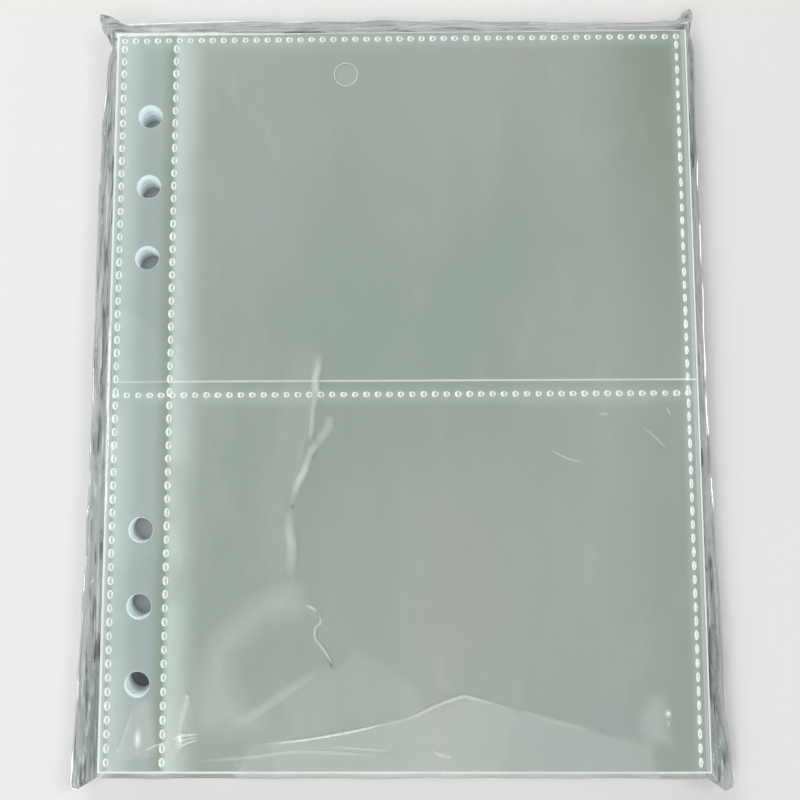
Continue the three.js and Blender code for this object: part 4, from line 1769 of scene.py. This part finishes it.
@dataclass
class Bag:
    """The film bag: one sheet in front and one behind, meeting at welded sides and a folded end."""

    layout: PageLayout
    material: bpy.types.Material
    seam_material: bpy.types.Material
    crease_highlight_material: bpy.types.Material
    outline: BagOutline = BagOutline()
    film: float = 0.05 * MM
    spacing: float = 1.1 * MM
    rings: int = 16
    vent_radius: float = 3.1 * MM
    vent_from_middle: Point2 = (-14.5 * MM, 83.3 * MM)
    vent_cells: int = 10
    vent_levels: int = 4
    vent_rim: float = 0.14 * MM
    vent_highlight: float = 0.6
    slack: float = 0.22 * MM
    slack_length: float = 60.0 * MM
    dimple_height: float = 0.05 * MM
    dimple_length: float = 14.0 * MM
    ripple_height: float = 0.35 * MM
    ripple_length: float = 22.0 * MM
    wrinkle_height: float = 0.07 * MM
    wrinkle_length: float = 7.0 * MM
    curl_reach: float = 3.5 * MM
    curl_shift: float = 0.8 * MM
    curl_rise: float = 2.2 * MM
    fall_power: float = 1.15
    back_lean: float = 2.1 * MM
    mouth_lean: float = 1.3 * MM
    line_stretch: float = 0.12
    line_pitch: float = 1.3 * MM
    line_height: float = 0.05 * MM
    side_weld_width: float = 0.8 * MM
    end_fold_width: float = 0.35 * MM
    weld_thickness: float = 0.25 * MM
    streak_lift: float = 0.05 * MM
    streak_film: float = 0.01 * MM
    streak_step: float = 0.7 * MM
    streak_columns: int = 8

    def __post_init__(self) -> None:
        """Read the heights from the frame."""
        self.middle = ((self.layout.left + self.layout.right) / 2, self.layout.middle)
        self.front_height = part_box("bag_front_panel")[1].z
        self.seam_height = sum(corner.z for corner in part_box("left_side_weld")) / 2
        flap_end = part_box("seal_flap")[1].y
        self.step_line = flap_end + 0.5 * MM
        self.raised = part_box("adhesive_strip")[1].z

    def _front_height(self, flat: np.ndarray) -> np.ndarray:
        """Height of the front film over the stack, with its slack and creases."""
        waves = 0.5 + 0.5 * undulation(flat, self.slack_length, seed=12)
        height = self.front_height + self.slack * waves
        height += self.dimple_height * (1.0 + undulation(flat, self.dimple_length, seed=5))
        for crease in FRONT_CREASES:
            height += crease.rise(flat, self.middle)
        return height

    def _back_height(self, flat: np.ndarray) -> np.ndarray:
        """Height of the outer face of the back film, which steps up over the flap."""
        return self.raised * (1.0 - smooth_step(flat[:, 1], self.step_line - 0.4 * MM, self.step_line))

    def _ridges(self, sheet: FilmGrid, share: float) -> np.ndarray:
        """How high the sharp folds stand at one share of the way to the rim."""
        height = np.zeros(len(sheet.rim))
        for number, ridges in enumerate((LEFT_RIDGES, END_RIDGES, RIGHT_RIDGES)):
            length = (sheet.rows, sheet.columns, sheet.rows)[number] * self.spacing
            here = np.isin(sheet.side, (number,))
            place = np.column_stack([sheet.share * length, share * sheet.reach])
            for ridge in ridges:
                mean = float(sheet.reach[here].mean())
                path = [
                    (ridge.start[0] * length, ridge.start[1] * mean),
                    (ridge.end[0] * length, ridge.end[1] * mean),
                ]
                away = distance_to_path(place, path)
                height += here * ridge.height * np.exp(-((away / ridge.width) ** 2))
        return height

    def _band(self, sheet: FilmGrid, inner_height: np.ndarray, rim_height: float, side: Side):
        """Points of the rings between the folds and the rim, innermost first."""
        along = sheet.along
        place = np.column_stack([along, np.zeros(len(along))])
        ripple = undulation(place, self.ripple_length, seed=21) * self.ripple_height
        curl = np.linalg.norm(sheet.rim - (self.outline.left_end_ear + sheet.centre), axis=1)
        curl = np.exp(-((curl / self.curl_reach) ** 2))
        outward = np.array([self.curl_shift, -self.curl_shift])
        rings = []
        for ring in range(1, sheet.rings + 1):
            share = ring / sheet.rings
            flat = sheet.inner + (sheet.rim - sheet.inner) * share
            flat = flat + curl[:, None] * share**2 * outward
            fall = share**self.fall_power
            height = inner_height * (1 - fall) + rim_height * fall
            height = height + ripple * share
            height += curl * share**3 * self.curl_rise
            fade = min(1.0, 4.0 * share * (1 - share) + 0.15)
            wrinkle = undulation(flat, self.wrinkle_length, seed=31 + side.value) * self.wrinkle_height
            lines = np.column_stack([along * self.line_stretch, sheet.reach * share])
            wrinkle += undulation(lines, self.line_pitch, seed=51 + side.value) * self.line_height
            height += side.value * fade * (self._ridges(sheet, share) + wrinkle)
            rings.append(np.column_stack([flat, height]))
        return rings

    def _vent(self, sheet: FilmGrid, first: int):
        """Points and faces that carry the grid round the vent hole.

        Args:
            sheet: The front film's grid.
            first: Index of the first new point.

        Returns:
            The open cells, the new flat points, the new faces and the points round the hole.
        """
        centre = sheet.centre + np.array(self.vent_from_middle)
        low, size = sheet.grid[0], (sheet.grid[-1] - sheet.grid[0]) / (sheet.columns, sheet.rows)
        half = self.vent_cells // 2
        column, row = np.round((centre - low) / size).astype(int) - half
        side = range(self.vent_cells)
        open_cells = {(column + i, row + j) for i in side for j in side}
        wide, n = sheet.columns + 1, self.vent_cells
        walk = [(column + i, row) for i in side]
        walk += [(column + n, row + j) for j in side]
        walk += [(column + n - i, row + n) for i in side]
        walk += [(column, row + n - j) for j in side]
        square = [j * wide + i for i, j in walk]
        angles = math.tau * (np.arange(len(square)) / len(square) - 0.375)
        hole = centre + self.vent_radius * np.column_stack([np.cos(angles), np.sin(angles)])
        levels = self.vent_levels
        points = [
            sheet.grid[square] + (hole - sheet.grid[square]) * (level / levels)
            for level in range(1, levels + 1)
        ]
        count = len(square)
        index = [square] + [
            [first + level * count + i for i in range(count)] for level in range(levels)
        ]
        faces = [
            (outer[i], outer[(i + 1) % count], inner[(i + 1) % count], inner[i])
            for outer, inner in zip(index, index[1:])
            for i in range(count)
        ]
        return open_cells, np.vstack(points), faces, hole

    def _marks(self, sheet: FilmGrid, shaped: np.ndarray, first: int, side: Side):
        """Values of one film's points for its material.

        Args:
            sheet: The film's grid.
            shaped: All of its points, with the rings and the two corners last.
            first: Index of the first ring's first point.
            side: Which film it is.

        Returns:
            The painted reflection of the facets, the share of band film and the place along and across it.
        """
        haze = np.zeros(len(shaped))
        if side is Side.FRONT:
            for facet in FRONT_SHEEN_FACETS:
                haze[:first] += facet.haze(shaped[:first, :2], self.middle)
        band = (np.arange(len(shaped)) >= first).astype(float)
        place = np.zeros((len(shaped), 3))
        along = sheet.along * self.line_stretch
        rows = [
            np.column_stack([along, sheet.reach * ring / sheet.rings])
            for ring in range(sheet.rings + 1)
        ]
        place[sheet.rim_index, :2] = rows[0]
        place[first:-2, :2] = np.vstack(rows[1:])
        place[-2:, :2] = rows[0][[0, -1]]
        place[:, 2] = side.value * 0.1
        return {Mark.HAZE: haze, Mark.BAND: band, Mark.PLACE: place}

    def _sheet(self, sheet: FilmGrid, side: Side):
        """Make the points, upward faces and marks of one film's outer face."""
        points = sheet.grid
        open_cells: set[tuple[int, int]] = set()
        vent_faces: list[tuple[int, ...]] = []
        if side is Side.FRONT:
            open_cells, vent_points, vent_faces, _ = self._vent(sheet, len(points))
            points = np.vstack([points, vent_points])
            height = self._front_height(points)
            rim_height = self.seam_height + self.film
        else:
            height = self._back_height(points)
            rim_height = self.seam_height - self.film
        shaped = np.column_stack([points, height])
        rings = self._band(sheet, height[sheet.rim_index], rim_height, side)
        count = len(sheet.rim_index)
        first = len(shaped)
        index = [sheet.rim_index] + [
            [first + ring * count + i for i in range(count)] for ring in range(sheet.rings)
        ]
        faces = sheet.cells(open_cells) + vent_faces
        for inner, outer in zip(index, index[1:]):
            faces += [
                (inner[i], inner[i + 1], outer[i + 1], outer[i]) for i in range(count - 1)
            ]
        shaped = np.vstack([shaped, *rings])
        corners = []
        for fold in (sheet.outline.fold_left - self.mouth_lean, sheet.outline.fold_right):
            corners.append([fold + sheet.centre[0], self.outline.mouth_line + sheet.centre[1], rim_height])
        left, right = len(shaped), len(shaped) + 1
        shaped = np.vstack([shaped, corners])
        for inner, outer in zip(index, index[1:]):
            faces.append((inner[0], outer[0], left))
            faces.append((outer[-1], inner[-1], right))
        return shaped, faces, self._marks(sheet, shaped, first, side)

    def _film_piece(self, name: str, sheet: FilmGrid, side: Side) -> bpy.types.Object:
        """Close one film and make it a piece."""
        outer, faces, marks = self._sheet(sheet, side)
        offset = vertex_normals(outer, faces) * self.film
        lift = 0.0 if side is Side.FRONT else 1.0
        closed = closed_film(outer + offset * lift, outer - offset * (1.0 - lift), faces)
        both = {mark: np.concatenate([values, values]) for mark, values in marks.items()}
        return mesh_piece(name, *closed, self.material, marks=both)

    def _strip(self, streak: Streak) -> tuple[np.ndarray, np.ndarray, int]:
        """Lay out the cells of one painted highlight line.

        Args:
            streak: The line.

        Returns:
            The flat points, the corners of each cell row by row, and the number of rows.
        """
        path = streak.line(self.middle)
        length = float(np.linalg.norm(np.diff(path, axis=0), axis=1).sum())
        steps = max(4, round(length / self.streak_step))
        path = evenly(path, steps)
        ahead = np.gradient(path, axis=0)
        right = np.column_stack([ahead[:, 1], -ahead[:, 0]])
        right /= np.linalg.norm(right, axis=1, keepdims=True)
        across = np.linspace(-0.5, 0.5, self.streak_columns + 1) * streak.width
        flat = (path[:, None] + right[:, None] * across[:, None]).reshape(-1, 2)
        wide = self.streak_columns + 1
        first = (np.arange(steps)[:, None] * wide + np.arange(self.streak_columns)).ravel()
        return flat, np.column_stack([first, first + 1, first + wide + 1, first + wide]), steps

    def _streaks(self) -> list[tuple[np.ndarray, list[tuple[int, ...]], np.ndarray]]:
        """Lay the painted highlight lines on the front film, the wider ones round the narrower.

        Returns:
            The points, the faces and each point's share of painted highlight for every line.
        """
        parts = []
        laid: list[Streak] = []
        for streak in sorted(FRONT_HIGHLIGHT_STREAKS, key=lambda one: one.width):
            flat, cells, steps = self._strip(streak)
            centres = flat[cells].mean(axis=1)
            free = np.ones(len(cells), bool)
            for other in laid:
                free &= ~other.covers(centres, self.middle)
            laid.append(streak)
            free = without_corner_contacts(free.reshape(steps, -1)).ravel()
            if not free.any():
                continue
            used, cells = np.unique(cells[free], return_inverse=True)
            flat = flat[used]
            clear = np.prod([1.0 - one.highlight_share(flat, self.middle) for one in FRONT_HIGHLIGHT_STREAKS], axis=0)
            upper = np.column_stack([flat, self._front_height(flat) + self.streak_lift])
            faces = [tuple(cell) for cell in cells.reshape(-1, 4)]
            points, faces = closed_film(upper, upper - (0.0, 0.0, self.streak_film), faces)
            haze = 1.0 - np.sqrt(clear)
            parts.append((points, faces, np.concatenate([haze, haze])))
        return parts

    def _painted_highlights(self, front: FilmGrid) -> bpy.types.Object:
        """Build the painted highlight lines of the front film and the painted highlight round its vent as
        one piece.
        """
        *_, hole = self._vent(front, 0)
        ring = np.column_stack([hole, self._front_height(hole)])
        bead = tube(ring, self.vent_rim)
        # The bead round the vent is a painted highlight.
        parts = [(*bead, np.full(len(bead[0]), self.vent_highlight)), *self._streaks()]
        points, faces = joined([part[:2] for part in parts])
        haze = np.concatenate([part[2] for part in parts])
        return mesh_piece(
            "bag_film_crease_highlights", points, faces, self.crease_highlight_material, marks={Mark.HAZE: haze}
        )

    def build(self) -> list[bpy.types.Object]:
        """Build the bag.

        Returns:
            Its pieces.
        """
        front = FilmGrid(self.layout, self.outline, self.spacing, self.rings)
        back = FilmGrid(self.layout, self.outline, self.spacing, self.rings, -self.back_lean)
        pieces = []
        for side, sheet in ((Side.FRONT, front), (Side.BACK, back)):
            name = side.name.lower()
            parts = ("panel", "left_side", "right_side", "bottom_end")
            film = self._film_piece(f"bag_{name}_film", sheet, side)
            nodes = [f"bag_{name}_{part}" for part in parts]
            pieces.append(placed(film, Body.BAG, Slot.BAG, *nodes))
        rim = self._band(front, np.full(len(front.rim), self.seam_height), self.seam_height, Side.FRONT)[-1]
        spans = {
            "left_side_weld": (0, front.rows + 1, self.side_weld_width),
            "bottom_fold": (front.rows, front.rows + front.columns + 1, self.end_fold_width),
            "right_side_weld": (front.rows + front.columns, len(rim), self.side_weld_width),
        }
        for node, (start, stop, width) in spans.items():
            bead = ribbon(rim[start:stop], width, self.weld_thickness)
            piece = mesh_piece(f"bag_{node}", *bead, self.seam_material)
            pieces.append(placed(piece, Body.BAG, Slot.BAG, node))
        pieces.append(placed(self._painted_highlights(front), Body.BAG, Slot.BAG))
        return pieces


@dataclass
class MouthClosure:
    """The film that folds down over the page ends at the mouth, and the flap stuck under the back."""

    layout: PageLayout
    film_material: bpy.types.Material
    tape_material: bpy.types.Material
    film: float = 0.05 * MM
    bulge: float = 1.2 * MM
    ripple: float = 0.22 * MM
    columns: int = 130
    rows: int = 16
    ripple_length: float = 16.0 * MM
    ripple_stretch: float = 4.0 * MM
    plate: float = 0.6
    plate_spacing: float = 12.0 * MM
    corner_radius: float = 4.0 * MM
    tape_corner_radius: float = 0.8 * MM
    flap_taper: float = 3.0 * MM
    corner_steps: int = 8

    def _panel(self) -> bpy.types.Object:
        """Build the film in front of the page ends, with soft upright ripples."""
        low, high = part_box("mouth_panel")
        xs = np.linspace(low.x, high.x, self.columns + 1)
        share = np.linspace(0.0, 1.0, self.rows + 1)
        across, up = (part.ravel() for part in np.meshgrid(xs, share))
        flat = np.column_stack([across, up * (high.z - low.z)])
        stretched = np.column_stack([across, up * self.ripple_stretch])
        wave = undulation(stretched, self.ripple_length, seed=44)
        out = self.bulge * 4 * up * (1 - up) + self.ripple * wave * np.sin(math.pi * up) ** 0.5
        outer = np.column_stack([across, high.y - np.maximum(out, 0.0), low.z + flat[:, 1]])
        points, faces = film_strip(outer, self.columns, self.rows, self.film)
        piece = mesh_piece("bag_mouth_film", points, faces, self.film_material)
        return placed(piece, Body.MOUTH_PANEL, Slot.BAG, "mouth_panel")

    def _rounded(self, node: str, taper: float, radius: float) -> list[Point2]:
        """Outline of a flap that narrows to its free edge and has two rounded corners there."""
        low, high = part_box(node)
        corners = [(high.x - taper, high.y, 0.0), (low.x + taper, high.y, math.pi / 2)]
        outline = [(low.x, low.y), (high.x, low.y)]
        for x, y, start in corners:
            centre = (x + (radius if start else -radius), y - radius)
            for step in range(self.corner_steps + 1):
                angle = start + math.pi / 2 * step / self.corner_steps
                outline.append(
                    (centre[0] + radius * math.cos(angle), centre[1] + radius * math.sin(angle))
                )
        return outline

    def _plate(self, name: str, node: str, taper: float, radius: float, finish: bpy.types.Material):
        """A thin flat plate on its CAD node's lower face."""
        low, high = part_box(node)
        region = Region(self._rounded(node, taper, radius), spacing=self.plate_spacing)
        plate = flat_plate(region, low.z, low.z + self.plate * (high.z - low.z))
        return mesh_piece(name, *plate, finish, smooth=False)

    def build(self) -> list[bpy.types.Object]:
        """Build the closure.

        Returns:
            Its pieces.
        """
        flap = self._plate(
            "bag_seal_flap", "seal_flap", self.flap_taper, self.corner_radius, self.film_material
        )
        tape = self._plate(
            "flap_adhesive", "adhesive_strip", 0.0, self.tape_corner_radius, self.tape_material
        )
        return [
            self._panel(),
            placed(flap, Body.FLAP, Slot.BAG, "seal_flap"),
            placed(tape, Body.FLAP, Slot.ADHESIVE, "adhesive_strip"),
        ]


@dataclass(frozen=True)
class Softbox:
    """A square lamp that faces the pack from a direction given in degrees."""

    azimuth: float
    tilt: float
    side: float
    radiance: float
    distance: float = 1.0

    def build(self, name: str) -> bpy.types.Object:
        """Make the lamp.

        Args:
            name: The lamp's name.

        Returns:
            The lamp.
        """
        light = bpy.data.lights.new(name, "AREA")
        light.shape = "SQUARE"
        light.size = self.side
        light.energy = self.radiance * math.pi * self.side**2
        azimuth, tilt = math.radians(self.azimuth), math.radians(self.tilt)
        sideways = math.sin(tilt)
        place = Vector((sideways * math.cos(azimuth), sideways * math.sin(azimuth), math.cos(tilt)))
        lamp = bpy.data.objects.new(name, light)
        lamp.location = place * self.distance
        lamp.rotation_euler = place.to_track_quat("Z", "Y").to_euler()
        bpy.context.scene.collection.objects.link(lamp)
        return lamp


SOFTBOXES = (
    Softbox(azimuth=178, tilt=24, side=0.30, radiance=0.6),
    Softbox(azimuth=268, tilt=28, side=0.34, radiance=1.1),
    Softbox(azimuth=182, tilt=31, side=0.12, radiance=13.0),
    Softbox(azimuth=265, tilt=33, side=0.14, radiance=13.0),
    Softbox(azimuth=15, tilt=40, side=0.30, radiance=9.0),
    Softbox(azimuth=120, tilt=56, side=0.50, radiance=5.6),
    Softbox(azimuth=232, tilt=46, side=0.35, radiance=7.0),
)


@dataclass
class Studio:
    """A plain pale floor, soft lamps and the camera at the photograph's angle."""

    floor_half: float = 2.0
    floor_drop: float = 0.1 * MM
    floor_colour: Colour = srgb(226, 226, 224)
    floor_roughness: float = 0.9
    clip_start: float = 0.01
    far_from: float = 0.35
    far_to: float = 1.1
    world_light: float = 0.32
    world_seen: float = 0.8
    camera_place: tuple[float, float, float] = (2.33 * MM, -22.09 * MM, 213.53 * MM)
    camera_turn: tuple[float, float, float] = (0.0861, 0.0099, -0.0036)
    lens: float = 36.0
    sensor: float = 36.0

    def _floor(self) -> bpy.types.Object:
        """Make the floor just under the pack."""
        graph = NodeGraph("studio_floor")
        mottle = graph.ramp(graph.noise(3.0, 2.0), 0.3, 0.7)
        dull = tuple(part * 0.97 for part in self.floor_colour)
        shader = graph.node("ShaderNodeBsdfPrincipled")
        graph.feed(shader.inputs["Base Color"], graph.mix_colour(mottle, dull, self.floor_colour))
        shader.inputs["Roughness"].default_value = self.floor_roughness
        away = graph.node("ShaderNodeVectorMath", Vector=graph.place)
        away.operation = "LENGTH"
        seen = graph.node("ShaderNodeLightPath").outputs
        far = graph.ramp(away.outputs["Value"], self.far_from, self.far_to)
        direct = graph.math("MAXIMUM", seen["Is Camera Ray"], seen["Is Transmission Ray"])
        share = graph.math("MULTIPLY", far, direct)
        pale = graph.node("ShaderNodeEmission")
        pale.inputs["Color"].default_value = (1.0, 1.0, 1.0, 1.0)
        pale.inputs["Strength"].default_value = self.world_seen
        material = graph.finish(graph.mix_shader(share, shader, pale).outputs[0])
        half, z = self.floor_half, -self.floor_drop
        points = np.array([(-half, -half, z), (half, -half, z), (half, half, z), (-half, half, z)])
        return mesh_piece("floor", points, [(0, 1, 2, 3)], material, smooth=False)

    def _world(self) -> None:
        """Light the scene evenly from all round, and show a paler world to the camera."""
        world = bpy.data.worlds.new("studio_world")
        world.use_nodes = True
        tree = world.node_tree
        tree.nodes.clear()
        path = tree.nodes.new("ShaderNodeLightPath").outputs
        seen = tree.nodes.new("ShaderNodeMath")
        seen.operation = "MAXIMUM"
        tree.links.new(path["Is Camera Ray"], seen.inputs[0])
        tree.links.new(path["Is Transmission Ray"], seen.inputs[1])
        strength = tree.nodes.new("ShaderNodeMapRange")
        tree.links.new(seen.outputs[0], strength.inputs["Value"])
        strength.inputs["To Min"].default_value = self.world_light
        strength.inputs["To Max"].default_value = self.world_seen
        sky = tree.nodes.new("ShaderNodeBackground")
        sky.inputs["Color"].default_value = (1.0, 1.0, 1.0, 1.0)
        tree.links.new(strength.outputs[0], sky.inputs["Strength"])
        output = tree.nodes.new("ShaderNodeOutputWorld")
        tree.links.new(sky.outputs[0], output.inputs["Surface"])
        bpy.context.scene.world = world

    def _camera(self) -> bpy.types.Object:
        """Place the camera where the photograph was taken."""
        data = bpy.data.cameras.new("camera")
        data.sensor_width = self.sensor
        data.lens = self.lens
        data.clip_start = self.clip_start
        camera = bpy.data.objects.new("camera", data)
        camera.location = self.camera_place
        camera.rotation_euler = self.camera_turn
        bpy.context.scene.collection.objects.link(camera)
        bpy.context.scene.camera = camera
        return camera

    def build(self) -> None:
        """Build floor, world, lamps and camera."""
        lamps = [box.build(f"softbox_{number}") for number, box in enumerate(SOFTBOXES, 1)]
        self._floor()
        self._camera()
        self._world()
        bpy.context.scene.view_settings.view_transform = "Standard"
        LOG.info("studio with %d lamps", len(lamps))


def main() -> None:
    """Build every sub-assembly round the frame, in order."""
    logging.basicConfig(level=logging.INFO, format="%(name)s: %(message)s")
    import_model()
    layout = PageLayout.from_frame()
    page_film = FrostedFilm(layout).build()
    dots = WeldDots(
        # Near-white rims with a painted glow are painted highlight; the middles are a darker copy.
        rim=WeldFilm("weld_rim_highlight", srgb(244, 250, 246), painted_glow=0.16).build(),
        middle=WeldFilm("weld_middle", srgb(196, 210, 203), roughness=0.2).build(),
    )
    bag_film = ClearFilm().build()
    seam_film = ClearFilm(name="clear_bag_seam", haze=0.45, gloss_face_on=0.25).build()
    TopPage(layout, page_film, dots).build()
    LowerPages(layout, page_film).build([f"page_{number:02d}" for number in range(2, 26)])
    Bag(layout, bag_film, seam_film, CreaseHighlightFilm().build()).build()
    MouthClosure(layout, bag_film, Tape().build()).build()
    Studio().build()


if __name__ == "__main__":
    main()
